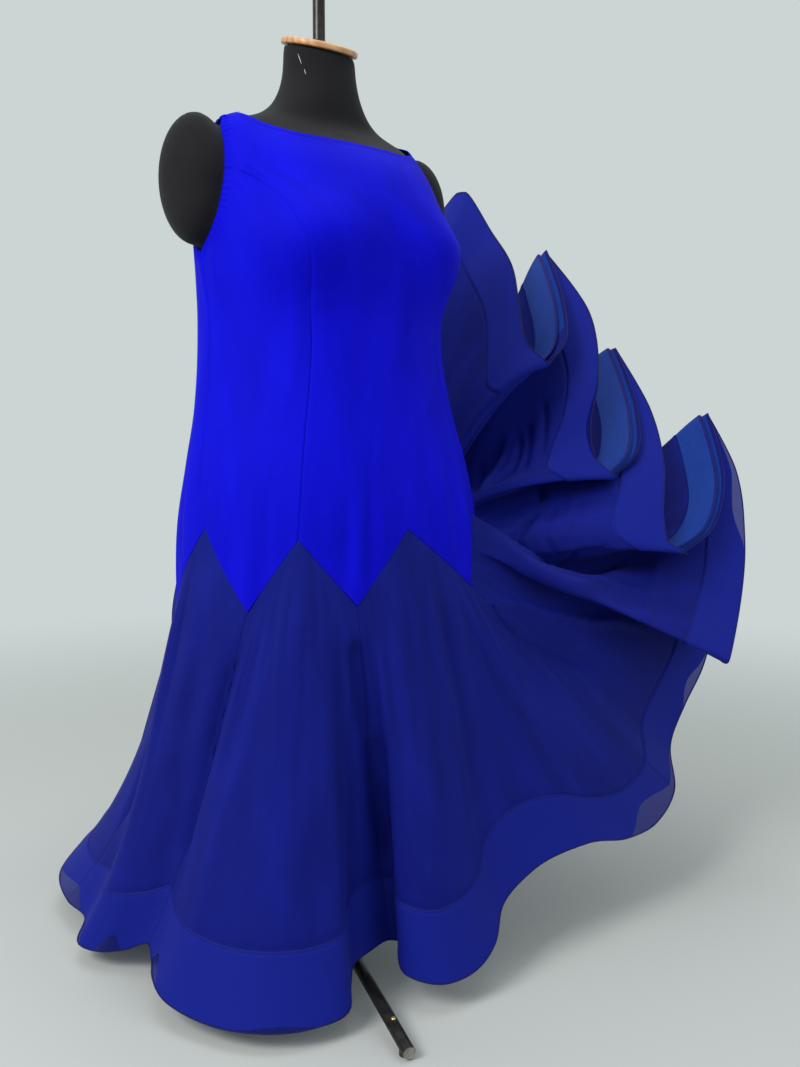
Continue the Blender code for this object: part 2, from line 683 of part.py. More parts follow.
def neck_edge(table, side, count):
    table = np.array(table, float)
    whole = np.vstack([table, (table * [-1, 1, 1] + [1, 0, 0])[-2::-1]])
    angle = np.concatenate([-table[:, 1], table[-2::-1, 1]])
    if side == "back":
        angle = np.concatenate([table[:, 1], (360.0 - table[:, 1])[-2::-1]])
    at = np.linspace(0, 1, count)
    low, high = (90.0, 270.0) if side == "back" else (-90.0, 90.0)
    angle = np.clip(smooth(whole[:, 0], angle, at), low, high)
    return np.stack([angle, smooth(whole[:, 0], whole[:, 2], at)], axis=1)


def bodice_panel(name, grid, group):
    angle, z = grid[..., 0], grid[..., 1]
    out = BODICE_CLEAR + BODICE_WALL / 2 + hang_off(angle, z)
    middle, normal = body_at(angle, z, out)
    middle = draw_ends(draw_in(middle, SEAM_GAP / 2), HIP_GAP / 2, SEAM_GAP / 2)
    sheet(name, middle, normal, BODICE_WALL, "bodice", group)


def bodice(group):
    # Front, from the wearer's right to the left.
    left = joined(mirrored(PRINCESS_FRONT), mirrored(ARMHOLE_FRONT))
    right = joined(PRINCESS_FRONT, ARMHOLE_FRONT)
    left = pinned(left, -40.5, 0.700)
    right = pinned(right, 42.0, 0.722)
    hips = hip_edge(-40.5, 42.0, WIDE_POINTS)
    grid = patch(hips, neck_edge(NECK_FRONT, "front", WIDE_POINTS), left, right)
    bodice_panel("bodice_front", grid, group)
    # Back, from the wearer's left round to the right.
    left = joined(PRINCESS_BACK, ARMHOLE_BACK)
    right = joined(PRINCESS_BACK, ARMHOLE_BACK) * [-1, 1] + [360, 0]
    right = pinned(right, 224.0, 0.715)
    hips = hip_edge(136.0, 224.0, WIDE_POINTS)
    grid = patch(hips, neck_edge(NECK_BACK, "back", WIDE_POINTS), left, right, evenness=1.0)
    bodice_panel("bodice_back", grid, group)
    # Side panels: the two by the front, then the two by the back.
    for side, sign in (("left", 1.0), ("right", -1.0)):
        corners = {"left": (42.0, 82.0, 136.0), "right": (-40.5, -79.0, -136.0)}[side]
        heights = {"left": (0.722, 0.722, 0.722), "right": (0.700, 0.712, 0.715)}[side]
        turn = np.array([sign, 1.0])
        front = pinned(along_table(PRINCESS_FRONT, SEAM_POINTS) * turn, corners[0], heights[0])
        middle = pinned(along_table(SIDE_SEAM, SEAM_POINTS) * turn, corners[1], heights[1])
        back = pinned(along_table(PRINCESS_BACK, SEAM_POINTS) * turn, corners[2], heights[2])
        under_front = along_table(ARMHOLE_UNDER_FRONT, SIDE_POINTS) * turn
        under_back = along_table(ARMHOLE_UNDER_BACK, SIDE_POINTS) * turn
        if side == "left":
            hips = (hip_edge(42.0, 82.0, SIDE_POINTS), hip_edge(82.0, 136.0, SIDE_POINTS))
        else:
            hips = (
                hip_edge(281.0, 319.5, SIDE_POINTS)[::-1] - [360.0, 0.0],
                hip_edge(224.0, 281.0, SIDE_POINTS)[::-1] - [360.0, 0.0],
            )
        grid = patch(hips[0], under_front, front, middle)
        bodice_panel("bodice_side_front_" + side, grid if sign > 0 else grid[::-1], group)
        grid = patch(hips[1], under_back, middle, back)
        bodice_panel("bodice_side_back_" + side, grid if sign > 0 else grid[::-1], group)


def modify(obj, kind, name, **settings):
    made = obj.modifiers.new(name, kind)
    for key, value in settings.items():
        setattr(made, key, value)
    return made


def helper_cylinder(name, radius, low, high, group, sides=32):
    mesh = bmesh.new()
    bmesh.ops.create_cone(
        mesh, cap_ends=True, segments=sides, radius1=radius, radius2=radius, depth=high - low
    )
    bmesh.ops.translate(mesh, verts=mesh.verts, vec=(0, 0, (low + high) / 2))
    data = bpy.data.meshes.new(name)
    mesh.to_mesh(data)
    mesh.free()
    made = bpy.data.objects.new(name, data)
    group.objects.link(made)
    return made


def neck_plane(y, lift=0.0):
    """Height of the tilted top of the neck, lower towards the front."""
    return NECK_TOP + lift / math.cos(math.radians(NECK_TILT)) + y * math.tan(math.radians(NECK_TILT))


def dress_form(group, helpers):
    """The torso: rings of the body's skin up to the tilted top of the neck, and two arm stubs."""
    angle = np.arange(0.0, 360.0, FORM_STEP)
    levels = np.concatenate([
        [FORM_BOTTOM, 0.612, 0.640, 0.680, 0.720],
        np.linspace(0.790, 1.230, 8),
        [1.255, 1.275, 1.290, 1.302, 1.311, 1.319, 1.332, 1.345, 1.362, 1.385, 1.405],
    ])
    rings = []
    for z in levels:
        rings.append(body_at(angle, np.full_like(angle, z), -FORM_CLEAR, inset=1.0)[0])
    rings[0][:, 2] = FORM_BOTTOM
    top = body_at(angle, np.full_like(angle, NECK_TOP), -FORM_CLEAR)[0]
    top[:, 2] = neck_plane(top[:, 1])
    rings.append(top)
    count = len(angle)
    points = np.vstack(rings)
    faces = [tuple(range(count))[::-1]]
    for i in range(len(rings) - 1):
        for j in range(count):
            k = (j + 1) % count
            faces.append((i * count + j, i * count + k, (i + 1) * count + k, (i + 1) * count + j))
    faces.append(tuple(range((len(rings) - 1) * count, len(rings) * count)))
    torso = mesh_object("form_torso", points, faces, "jersey", group)
    for side in (1.0, -1.0):
        mesh = bmesh.new()
        bmesh.ops.create_uvsphere(mesh, u_segments=18, v_segments=10, radius=1.0)
        bmesh.ops.scale(mesh, verts=mesh.verts, vec=STUB_RADII)
        centre = (STUB_CENTRE[0] * side, STUB_CENTRE[1], STUB_CENTRE[2])
        bmesh.ops.translate(mesh, verts=mesh.verts, vec=centre)
        name = "stub_left" if side > 0 else "stub_right"
        data = bpy.data.meshes.new(name)
        mesh.to_mesh(data)
        mesh.free()
        stub = bpy.data.objects.new(name, data)
        helpers.objects.link(stub)
        modify(torso, "BOOLEAN", name, operation="UNION", solver="EXACT", object=stub)


def neck_cap(group, helpers):
    """The turned wooden cap of the neck, bored for the pole."""
    profile = (
        (0.0, 0.0),
        (CAP_RADIUS - 0.0015, 0.0),
        (CAP_RADIUS, 0.0015),
        (CAP_RADIUS, CAP_EDGE - 0.003),
        (CAP_RADIUS - 0.003, CAP_EDGE),
        (CAP_RADIUS * 0.6, CAP_EDGE + CAP_DOME * 0.7),
        (0.0, CAP_EDGE + CAP_DOME),
    )
    data = bpy.data.meshes.new("neck_cap")
    edges = [(i, i + 1) for i in range(len(profile) - 1)]
    data.from_pydata([(r, 0.0, z) for r, z in profile], edges, [])
    cap = bpy.data.objects.new("neck_cap", data)
    cap.data.materials.append(material("neck_cap", COLOURS["wood"]))
    group.objects.link(cap)
    modify(
        cap, "SCREW", "turn", angle=math.tau, steps=32, render_steps=32, use_merge_vertices=True,
        merge_threshold=0.00001, use_smooth_shade=True, use_normal_flip=False,
    )
    cap.rotation_euler = (math.radians(NECK_TILT), 0.0, 0.0)
    cap.location = (0.0, 0.0, neck_plane(0.0, MATE_GAP))
    bore = helper_cylinder("cap_bore", POLE_RADIUS + MATE_GAP, POLE_SEAT_LOW, POLE_SEAT_HIGH, helpers)
    modify(cap, "BOOLEAN", "bore", operation="DIFFERENCE", solver="EXACT", object=bore)


def poles(group, helpers):
    upper = helper_cylinder("pole_upper", POLE_RADIUS, POLE_SEAT_LOW + 0.05, POLE_TOP, group, 24)
    upper.data.materials.append(material("pole_upper", COLOURS["steel"]))
    data = bpy.data.meshes.new("pole_cut")
    reach, low = 0.05, POLE_SEAT_LOW
    corners = []
    for x, y in ((-reach, -reach), (reach, -reach), (reach, reach), (-reach, reach)):
        corners.append((x, y, low))
        corners.append((x, y, neck_plane(y, MATE_GAP)))
    faces = [(0, 2, 4, 6), (1, 7, 5, 3), (0, 1, 3, 2), (2, 3, 5, 4), (4, 5, 7, 6), (6, 7, 1, 0)]
    data.from_pydata(corners, [], faces)
    mesh = bmesh.new()
    mesh.from_mesh(data)
    bmesh.ops.recalc_face_normals(mesh, faces=mesh.faces)
    mesh.to_mesh(data)
    mesh.free()
    cut = bpy.data.objects.new("pole_cut", data)
    helpers.objects.link(cut)
    modify(upper, "BOOLEAN", "seat", operation="DIFFERENCE", solver="EXACT", object=cut)
    modify(upper, "BEVEL", "edge", width=0.0012, segments=2, limit_method="ANGLE")
    lower = helper_cylinder(
        "pole_lower", LOWER_POLE_RADIUS, HUB_TOP + MATE_GAP, FORM_BOTTOM - MATE_GAP, group, 24
    )
    lower.data.materials.append(material("pole_lower", COLOURS["steel"]))


def stand(group, helpers):
    """The tripod: a hub, sloping tube legs and a flat pad under the end of each."""
    hub = helper_cylinder("stand", HUB_RADIUS, HUB_BOTTOM, HUB_TOP, group, 32)
    hub.data.materials.append(material("stand", COLOURS["steel"]))
    slope = math.atan2(LEG_HUB_Z - LEG_END_Z, LEG_REACH)
    length = LEG_REACH / math.cos(slope)
    for number in range(LEG_COUNT):
        turn = math.radians(LEG_ANGLE + number * 360.0 / LEG_COUNT)
        leg = helper_cylinder("leg_" + str(number), LEG_RADIUS, 0.0, length, helpers, 20)
        leg.rotation_euler = (0.0, math.pi / 2 + slope, turn)
        leg.location = (0.0, 0.0, LEG_HUB_Z)
        pad = helper_cylinder("pad_" + str(number), PAD_RADIUS, 0.0, PAD_HEIGHT, helpers, 20)
        pad.location = (PAD_REACH * math.cos(turn), PAD_REACH * math.sin(turn), 0.0)
        for helper in (leg, pad):
            modify(hub, "BOOLEAN", helper.name, operation="UNION", solver="EXACT", object=helper)


def shade(group):
    for obj in group.objects:
        if obj.type != "MESH":
            continue
        for face in obj.data.polygons:
            face.use_smooth = True
        obj.data.set_sharp_from_angle(angle=math.radians(40.0))


def main():
    clear_scene()
    part = collection("ball_gown_on_dress_form")
    helpers = collection("helpers")
    helpers.hide_render = True
    bodice(part)
    gores_and_band(part)
    dress_form(part, helpers)
    neck_cap(part, helpers)
    poles(part, helpers)
    stand(part, helpers)
    shade(part)
    for obj in helpers.objects:
        obj.hide_render = True
        obj.display_type = "WIRE"
    for obj in list(part.objects) + list(helpers.objects):
        obj.location.x += PLACE_X
        obj.location.y += PLACE_Y


main()
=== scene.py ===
"""Looks of a sleeveless ball gown on a limbless dress form with a pole and a low tripod stand.

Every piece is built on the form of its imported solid, at a finer grain, with the creases, seams,
edges and stitches that the solids leave out. Metres, +Z up, the gown faces -Y, its lifted side is +X.
"""

import math

import bmesh
import bpy
import numpy as np
from mathutils import Matrix, Vector


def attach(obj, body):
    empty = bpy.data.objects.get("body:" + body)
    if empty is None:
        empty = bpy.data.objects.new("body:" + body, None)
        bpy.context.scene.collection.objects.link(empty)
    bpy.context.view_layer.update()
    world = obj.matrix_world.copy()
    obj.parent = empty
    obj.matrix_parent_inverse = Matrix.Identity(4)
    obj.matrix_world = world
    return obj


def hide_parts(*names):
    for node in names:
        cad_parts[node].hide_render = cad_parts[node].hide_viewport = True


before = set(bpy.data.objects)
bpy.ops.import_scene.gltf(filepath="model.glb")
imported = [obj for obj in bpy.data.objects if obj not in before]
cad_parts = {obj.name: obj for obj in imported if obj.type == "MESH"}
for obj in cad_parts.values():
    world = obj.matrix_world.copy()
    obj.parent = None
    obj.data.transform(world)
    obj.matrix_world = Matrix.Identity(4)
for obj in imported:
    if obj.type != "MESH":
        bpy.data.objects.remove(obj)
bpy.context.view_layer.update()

# From the pole's axis to the frame's origin
PLACE = np.array([-0.2810, -0.1806, 0.0])

# Walls and clearances
BODICE_WALL = 0.0015
SKIRT_WALL = 0.0010
BAND_WALL = 0.0010
BODICE_CLEAR = 0.0010
SEAM_GAP = 0.0004
HIP_GAP = 0.0007
LAYER_GAP = 0.0003
BAND_WIDTH = 0.105
FORM_CLEAR = 0.0037

# Body of the gown and of the form, from the bottom up. The form is drawn in by the inset.
BODY_COLUMNS = ("z", "half_width", "front", "back", "inset")
BODY_ROWS = (
    (0.560, 0.238, 0.206, 0.168, 0.070),
    (0.600, 0.239, 0.208, 0.170, 0.045),
    (0.615, 0.239, 0.208, 0.170, 0.030),
    (0.640, 0.239, 0.208, 0.170, 0.016),
    (0.680, 0.238, 0.208, 0.169, 0.005),
    (0.720, 0.236, 0.207, 0.167, 0.000),
    (0.800, 0.226, 0.196, 0.159, 0.000),
    (0.880, 0.2115, 0.180, 0.151, 0.000),
    (0.960, 0.2025, 0.168, 0.147, 0.000),
    (1.020, 0.200, 0.165, 0.147, 0.000),
    (1.080, 0.201, 0.171, 0.152, 0.000),
    (1.140, 0.2025, 0.173, 0.160, 0.000),
    (1.200, 0.1995, 0.156, 0.160, 0.000),
    (1.240, 0.195, 0.131, 0.146, 0.000),
    (1.270, 0.1885, 0.100, 0.122, 0.000),
    (1.290, 0.1805, 0.076, 0.094, 0.000),
    (1.302, 0.168, 0.063, 0.075, 0.000),
    (1.311, 0.146, 0.055, 0.062, 0.000),
    (1.319, 0.121, 0.052, 0.055, 0.000),
    (1.332, 0.0985, 0.053, 0.053, 0.000),
    (1.357, 0.077, 0.054, 0.054, 0.000),
    (1.380, 0.0665, 0.055, 0.055, 0.000),
    (1.420, 0.0600, 0.056, 0.056, 0.000),
    (1.470, 0.0590, 0.056, 0.056, 0.000),
)
BOX_FRONT = 0.055
BOX_BACK = -0.050
BOX_TOP = 1.02
BOX_FADE = 0.25
BUST_ANGLE = 37.0
BUST_Z = 1.115
BUST_OUT = 0.033
BUST_SIDEWAYS = 0.5
BUST_SPREAD = 27.0
BUST_EASE = 0.004
BUST_RISE = 0.062
FORM_BOTTOM = 0.600
TURN_STEP = 0.5
RISE_STEP = 0.002
HANG_TOP = 0.90
HANG_FADE = 0.22
FOLD_REACH = 2.0
LIFT_LEAN = 0.2

# Corners of the drop-hip seam round the body: angle from the centre front towards the wearer's
# left, height, and how far the hanging cloth stands off the body there.
HIP_COLUMNS = ("angle", "z", "off")
HIP_CORNERS = (
    (-20.6, 0.603, 0.000),
    (0.0, 0.709, 0.000),
    (32.0, 0.612, 0.012),
    (42.0, 0.722, 0.003),
    (60.0, 0.605, 0.010),
    (82.0, 0.722, 0.000),
    (108.0, 0.605, 0.004),
    (136.0, 0.722, 0.000),
    (158.0, 0.605, 0.004),
    (180.0, 0.718, 0.000),
    (202.0, 0.600, 0.004),
    (224.0, 0.715, 0.000),
    (252.0, 0.580, 0.004),
    (281.0, 0.712, 0.000),
    (302.0, 0.597, 0.000),
    (319.5, 0.700, 0.000),
)
GORE_NAMES = (
    "gore_front",
    "gore_princess_left",
    "gore_side_left",
    "gore_back_left",
    "gore_back",
    "gore_back_right",
    "gore_side_right",
    "gore_princess_right",
)

# Ribs of the skirt, one row for each crest, hollow or side of a fold, round from the seam at the
# right of the front gore: where the rib leaves the hip (degrees), where it meets the hem, and how
# far its two inner control points stand off the straight line between its ends (millimetres).
RIB_COLUMNS = ("angle", "x", "y", "z", "x_1", "y_1", "z_1", "x_2", "y_2", "z_2")
RIBS = (
    (-20.6, 2, -166, 75, 2, 10, 0, -1, 10, 0),
    (-19.2, 17, -177, 71, 1, 5, 0, 0, 8, 0),
    (-17.0, 3, -193, 66, 0, 0, 0, 0, 5, 0),
    (-13.0, -20, -234, 54, 0, 0, 0, 1, 8, 0),
    (-6.0, 6, -276, 46, 0, 0, 0, 0, 15, 0),
    (2.0, 56, -288, 50, 0, 0, 0, -4, 20, 0),
    (8.0, 111, -278, 71, 0, 0, 0, -7, 19, 0),
    (13.0, 150, -257, 115, 0, 0, 0, -10, 17, 0),
    (17.0, 217, -257, 153, 0, 0, 0, -16, 19, 0),
    (21.0, 337, -269, 171, 0, 0, 0, -23, 19, 0),
    (25.0, 449, -265, 150, 0, 0, 0, -17, 10, 0),
    (29.0, 551, -252, 151, 0, 0, 0, -9, 4, 0),
    (32.0, 636, -227, 185, 0, 0, 0, 0, 0, 0),
    (33.0, 688, -179, 250, 0, 0, 0, 0, 0, 0),
    (34.0, 753, -164, 315, 0, 0, 0, 0, 0, 0),
    (35.0, 807, -166, 381, 0, 0, 0, 6, 8, 0),
    (35.75, 848, -165, 458, 0, 0, 10, 12, 16, 10),
    (36.25, 842, -173, 458, 0, 0, 10, 12, 16, 10),
    (36.7, 761, -244, 455, 0, 0, 0, 0, 0, 0),
    (37.2, 681, -299, 438, 0, 0, 0, 0, 0, 0),
    (37.8, 671, -313, 438, 0, 0, 0, 0, 0, 0),
    (42.0, 758, -279, 518, 0, 0, -60, 6, 8, -40),
    (48.0, 846, -232, 641, 0, 0, -110, 12, 16, -70),
    (57.0, 892, -179, 775, 0, 0, -150, 18, 24, -100),
    (60.4, 882, -115, 890, 9, 12, -130, 18, 24, 12),
    (61.8, 876, -123, 890, 3, 4, -130, 18, 24, 12),
    (63.0, 813, -207, 758, 0, 0, -90, 0, 0, -40),
    (65.0, 718, -244, 669, -6, -8, -40, -6, -8, -10),
    (66.5, 623, -250, 634, -12, -16, 0, -12, -16, 20),
    (67.6, 612, -264, 634, -12, -16, 0, -12, -16, 20),
    (69.0, 578, -247, 654, -12, -16, 20, -12, -16, 30),
    (71.0, 591, -226, 693, -12, -16, 20, -12, -16, 20),
    (73.0, 651, -182, 780, -6, -8, 0, -6, -8, 0),
    (75.2, 724, -93, 894, 0, 0, -20, 0, 0, -20),
    (77.05, 742, 11, 1021, 6, 8, -62, 12, 16, 72),
    (77.75, 736, 3, 1021, 6, 8, -62, 12, 16, 72),
    (78.4, 680, -98, 893, 0, 0, -10, 0, 0, 0),
    (78.9, 603, -154, 808, -6, -8, 10, -6, -8, 5),
    (79.6, 536, -157, 768, -14, -18, 30, -14, -18, 20),
    (80.4, 526, -171, 768, -14, -18, 30, -14, -18, 20),
    (82.5, 504, -144, 797, -18, -24, 25, -18, -24, 15),
    (86.0, 521, -113, 854, -18, -24, 20, -18, -24, -10),
    (91.0, 568, -91, 947, -12, -16, 20, -12, -16, -20),
    (96.0, 625, -22, 1076, -6, -8, 0, 0, 0, -30),
    (100.6, 626, 100, 1213, 0, 0, -48, 12, 16, 105),
    (101.3, 616, 86, 1213, 0, 0, -28, 12, 16, 110),
    (104.0, 567, -4, 1101, 0, 0, 70, 0, 0, 30),
    (107.0, 494, -69, 1008, -6, -8, 110, -6, -8, 60),
    (109.4, 447, -73, 968, 35, 0, 150, -12, -16, 100),
    (110.6, 437, -87, 968, 33, 1, 150, -12, -16, 100),
    (114.0, 423, -48, 1006, 59, 15, 130, -12, -16, 60),
    (120.0, 441, -11, 1072, 46, 22, 100, -6, -8, 20),
    (128.0, 466, 32, 1155, 55, 43, 60, 0, 0, 0),
    (137.0, 488, 115, 1239, 28, 30, 30, 0, 0, 0),
    (145.4, 474, 170, 1316, 25, 37, 0, 0, 0, 30),
    (146.6, 468, 183, 1316, 25, 37, 0, 0, 0, 30),
    (153.0, 425, 290, 1190, 20, 40, 0, 0, 0, 0),
    (158.0, 365, 410, 1030, 17, 42, 0, 0, 0, 0),
    (162.5, 300, 402, 1040, 14, 43, 0, 0, 0, 0),
    (167.0, 242, 350, 1108, 10, 44, 0, 0, 0, 0),
    (169.5, 214, 372, 1100, 8, 44, 0, 0, 0, 0),
    (172.0, 225, 470, 990, 6, 45, 0, 0, 0, 0),
    (176.0, 215, 590, 830, 3, 45, 0, 0, 0, 0),
    (180.0, 185, 620, 740, 0, 45, 0, 0, 0, 0),
    (185.0, 120, 560, 740, -3, 36, 0, 0, 0, 0),
    (189.0, 88, 500, 768, -5, 28, 0, 0, 0, 0),
    (191.3, 68, 512, 758, -5, 24, 0, 0, 0, 0),
    (194.0, 84, 590, 620, -5, 19, 0, 0, 0, 0),
    (198.0, 104, 690, 460, -4, 12, 0, 0, 0, 0),
    (202.0, 108, 705, 375, -2, 5, 0, 0, 0, 0),
    (207.0, 55, 640, 365, 0, 0, 0, 0, 0, 0),
    (212.0, 12, 565, 370, 0, 0, 0, 0, 0, 0),
    (218.0, 0, 620, 240, 0, 0, 0, 0, -20, 0),
    (224.0, -10, 655, 150, 0, 0, 0, 0, -30, 0),
    (230.0, -60, 600, 110, 6, -8, 0, 4, -40, 0),
    (242.0, -188, 517, 70, 22, -20, 0, 24, -66, 0),
    (247.0, -260, 451, 50, 32, -24, 0, 40, -69, 0),
    (252.0, -288, 355, 40, 26, -16, 0, 44, -54, 0),
    (262.0, -293, 269, 40, 19, -5, 0, 37, -34, 0),
    (272.0, -331, 207, 30, 10, 0, 0, 34, -21, 0),
    (281.0, -318, 165, 32, 10, 1, 0, 27, -14, 0),
    (291.0, -293, 131, 40, 10, 3, 0, 18, -8, 0),
    (302.0, -273, 79, 60, 9, 5, 0, 19, -6, 0),
    (305.0, -281, 54, 50, 0, 0, 0, 10, -2, 0),
    (309.0, -304, 7, 45, 0, 0, 0, 20, 0, 0),
    (313.0, -316, -45, 40, 0, 0, 0, 25, 4, 0),
    (317.0, -298, -113, 30, 0, 0, 0, 28, 11, 0),
    (319.5, -261, -183, 30, 0, 0, 0, 25, 17, 0),
    (325.0, -192, -228, 30, 0, 0, 0, 19, 23, 0),
    (330.0, -136, -234, 35, 0, 0, 0, 13, 22, 0),
    (334.0, -106, -199, 50, 0, 0, 0, 7, 13, 0),
    (337.0, -71, -166, 60, 1, 5, 0, 4, 9, 0),
    (338.0, -42, -166, 70, 1, 5, 0, 2, 10, 0),
)


def column(rows, names, name):
    return np.array([row[names.index(name)] for row in rows], float)


def slopes(x, y):
    """Slopes of a smooth curve through the points, each from its two neighbours."""
    step = np.diff(x)
    rise = np.diff(y, axis=0) / step.reshape((-1,) + (1,) * (y.ndim - 1))
    m = np.empty_like(y)
    w0 = step[1:].reshape((-1,) + (1,) * (y.ndim - 1))
    w1 = step[:-1].reshape((-1,) + (1,) * (y.ndim - 1))
    m[1:-1] = (rise[:-1] * w0 + rise[1:] * w1) / (w0 + w1)
    m[0] = rise[0]
    m[-1] = rise[-1]
    return m


def smooth(x, y, at, reach=1e9):
    """The smooth curve through (x, y) at the given places. A slope carries at most the reach times
    the shorter of the two steps beside its point, so that a short step stays a tight turn."""
    x = np.asarray(x, float)
    y = np.asarray(y, float)
    at = np.clip(np.asarray(at, float), x[0], x[-1])
    m = slopes(x, y)
    i = np.clip(np.searchsorted(x, at, side="right") - 1, 0, len(x) - 2)
    step = np.diff(x)
    s = (at - x[i]) / step[i]
    before = np.minimum(step[i], reach * step[np.maximum(i - 1, 0)])
    after = np.minimum(step[i], reach * step[np.minimum(i + 1, len(step) - 1)])
    if y.ndim > 1:
        before, after, s = before[..., None], after[..., None], s[..., None]
    return (
        y[i] * (1 + 2 * s) * (1 - s) ** 2
        + m[i] * before * s * (1 - s) ** 2
        + y[i + 1] * s**2 * (3 - 2 * s)
        + m[i + 1] * after * s**2 * (s - 1)
    )


def soft_step(x):
    x = np.clip(x, 0.0, 1.0)
    return x * x * (3 - 2 * x)


def unit(v):
    return v / np.maximum(np.linalg.norm(v, axis=-1, keepdims=True), 1e-12)


BODY = {name: column(BODY_ROWS, BODY_COLUMNS, name) for name in BODY_COLUMNS}


def body_raw(angle, z, inset):
    """A point of the body's skin, from its angle in degrees and its height."""
    draw = smooth(BODY["z"], BODY["inset"], z) * inset
    wide = smooth(BODY["z"], BODY["half_width"], z) - draw
    front = smooth(BODY["z"], BODY["front"], z) - draw
    back = smooth(BODY["z"], BODY["back"], z) - draw
    t = np.radians(angle)
    turned = (np.asarray(angle) + 180.0) % 360.0 - 180.0
    deep = np.where(np.cos(t) > 0, front, back)
    side = np.exp(-(((np.abs(turned) - BUST_ANGLE) / BUST_SPREAD) ** 2))
    high = np.exp(-(((z - BUST_Z) / BUST_RISE) ** 2))
    bust = (BUST_OUT - BUST_EASE * inset) * side * high
    x = wide * np.sin(t) + bust * np.sin(t) * BUST_SIDEWAYS
    y = -deep * np.cos(t) - bust
    box = np.where(np.cos(t) > 0, BOX_FRONT, BOX_BACK) * soft_step((BOX_TOP - z) / BOX_FADE)
    full = 1.0 + box * np.sin(2.0 * t) ** 2
    x = x * full
    y = y * full
    return np.stack([x, y, z + 0 * x], axis=-1)


def body_at(angle, z, out, inset=0.0):
    """A point moved out from the body's skin along its normal."""
    angle = np.asarray(angle, float)
    z = np.asarray(z, float)
    angle, z = np.broadcast_arrays(angle, z)
    across = body_raw(angle + TURN_STEP, z, inset) - body_raw(angle - TURN_STEP, z, inset)
    upward = body_raw(angle, z + RISE_STEP, inset) - body_raw(angle, z - RISE_STEP, inset)
    normal = unit(np.cross(across, upward))
    return body_raw(angle, z, inset) + normal * np.asarray(out)[..., None], normal


HIP = {name: column(HIP_CORNERS, HIP_COLUMNS, name) for name in HIP_COLUMNS}


def round_hip(name, angle):
    a = np.append(HIP["angle"], HIP["angle"][0] + 360.0)
    v = np.append(HIP[name], HIP[name][0])
    return np.interp((np.asarray(angle) - a[0]) % 360.0 + a[0], a, v)


def hang_off(angle, z):
    """How far the hanging cloth stands off the body, fading out above the seam."""
    return round_hip("off", angle) * soft_step((HANG_TOP - np.asarray(z)) / HANG_FADE)


def hip_seam(angle):
    """The zigzag seam between bodice and skirt: its points, normals and heights."""
    z = round_hip("z", angle)
    out = BODICE_CLEAR + BODICE_WALL / 2 + hang_off(angle, z)
    point, normal = body_at(angle, z, out)
    return point, normal, z


def skirt_curves():
    """The control curves of the skirt, closed round on themselves."""
    rib = {name: column(RIBS, RIB_COLUMNS, name) for name in RIB_COLUMNS}
    angle = np.append(rib["angle"], rib["angle"][0] + 360.0)
    hem = np.stack([rib["x"], rib["y"], rib["z"]], axis=-1) / 1000.0
    bow = np.stack([rib[name] for name in RIB_COLUMNS[4:]], axis=-1) / 1000.0
    hem = np.vstack([hem, hem[:1]])
    bow = np.vstack([bow, bow[:1]])
    along = np.concatenate([[0.0], np.cumsum(np.linalg.norm(np.diff(hem, axis=0), axis=1))])
    return along / along[-1], angle, hem, bow


RIB_U, RIB_ANGLE, RIB_HEM, RIB_BOW = skirt_curves()


def closed_smooth(values, u):
    """The closed smooth curve through one value at each rib."""
    x = np.concatenate([RIB_U[-4:-1] - 1.0, RIB_U, RIB_U[1:4] + 1.0])
    y = np.concatenate([values[-4:-1], values, values[1:4]])
    return smooth(x, y, u, FOLD_REACH)


def skirt_at(u, v):
    """Points of the skirt's middle surface: u goes round it and v runs from the hip to the hem."""
    u = np.asarray(u, float)
    v = np.asarray(v, float)
    angle = np.interp(u, RIB_U, RIB_ANGLE)
    start, square, _ = hip_seam(angle)
    hem = closed_smooth(RIB_HEM, u)
    bow = closed_smooth(RIB_BOW, u)
    lead = (hem - start) / 3 + bow[..., :3]
    short = LIFT_LEAN * np.maximum(lead[..., 2], 0.0) - (lead * square).sum(axis=-1)
    c1 = start + lead + square * np.maximum(short, 0.0)[..., None]
    c2 = start + (hem - start) * 2 / 3 + bow[..., 3:]
    v = v[..., None]
    return (
        start * (1 - v) ** 3
        + 3 * c1 * v * (1 - v) ** 2
        + 3 * c2 * v**2 * (1 - v)
        + hem * v**3
    )


# Edges of the bodice panels: angle round the body and height.
PRINCESS_FRONT = (
    (40.5, 0.722),
    (38.4, 0.833),
    (35.8, 0.929),
    (35.0, 0.970),
    (37.0, 1.058),
    (40.5, 1.115),
    (43.5, 1.138),
    (47.5, 1.165),
    (55.5, 1.193),
    (65.0, 1.213),
    (75.0, 1.221),
)
SIDE_SEAM = (
    (79.0, 0.712),
    (84.0, 0.774),
    (86.0, 0.839),
    (87.0, 0.934),
    (88.5, 1.020),
    (94.7, 1.109),
)
PRINCESS_BACK = (
    (136.0, 0.722),
    (138.0, 0.850),
    (140.0, 0.960),
    (138.0, 1.060),
    (130.0, 1.140),
    (123.5, 1.190),
    (122.0, 1.205),
)
ARMHOLE_FRONT = ((75.0, 1.221), (75.5, 1.250), (79.0, 1.276), (84.0, 1.292), (90.0, 1.300))
ARMHOLE_UNDER_FRONT = ((75.0, 1.221), (76.5, 1.196), (80.0, 1.160), (85.5, 1.134), (94.7, 1.109))
ARMHOLE_UNDER_BACK = ((94.7, 1.109), (108.0, 1.133), (116.0, 1.158), (122.0, 1.205))
ARMHOLE_BACK = ((122.0, 1.205), (121.0, 1.240), (114.0, 1.270), (106.0, 1.290), (90.0, 1.300))
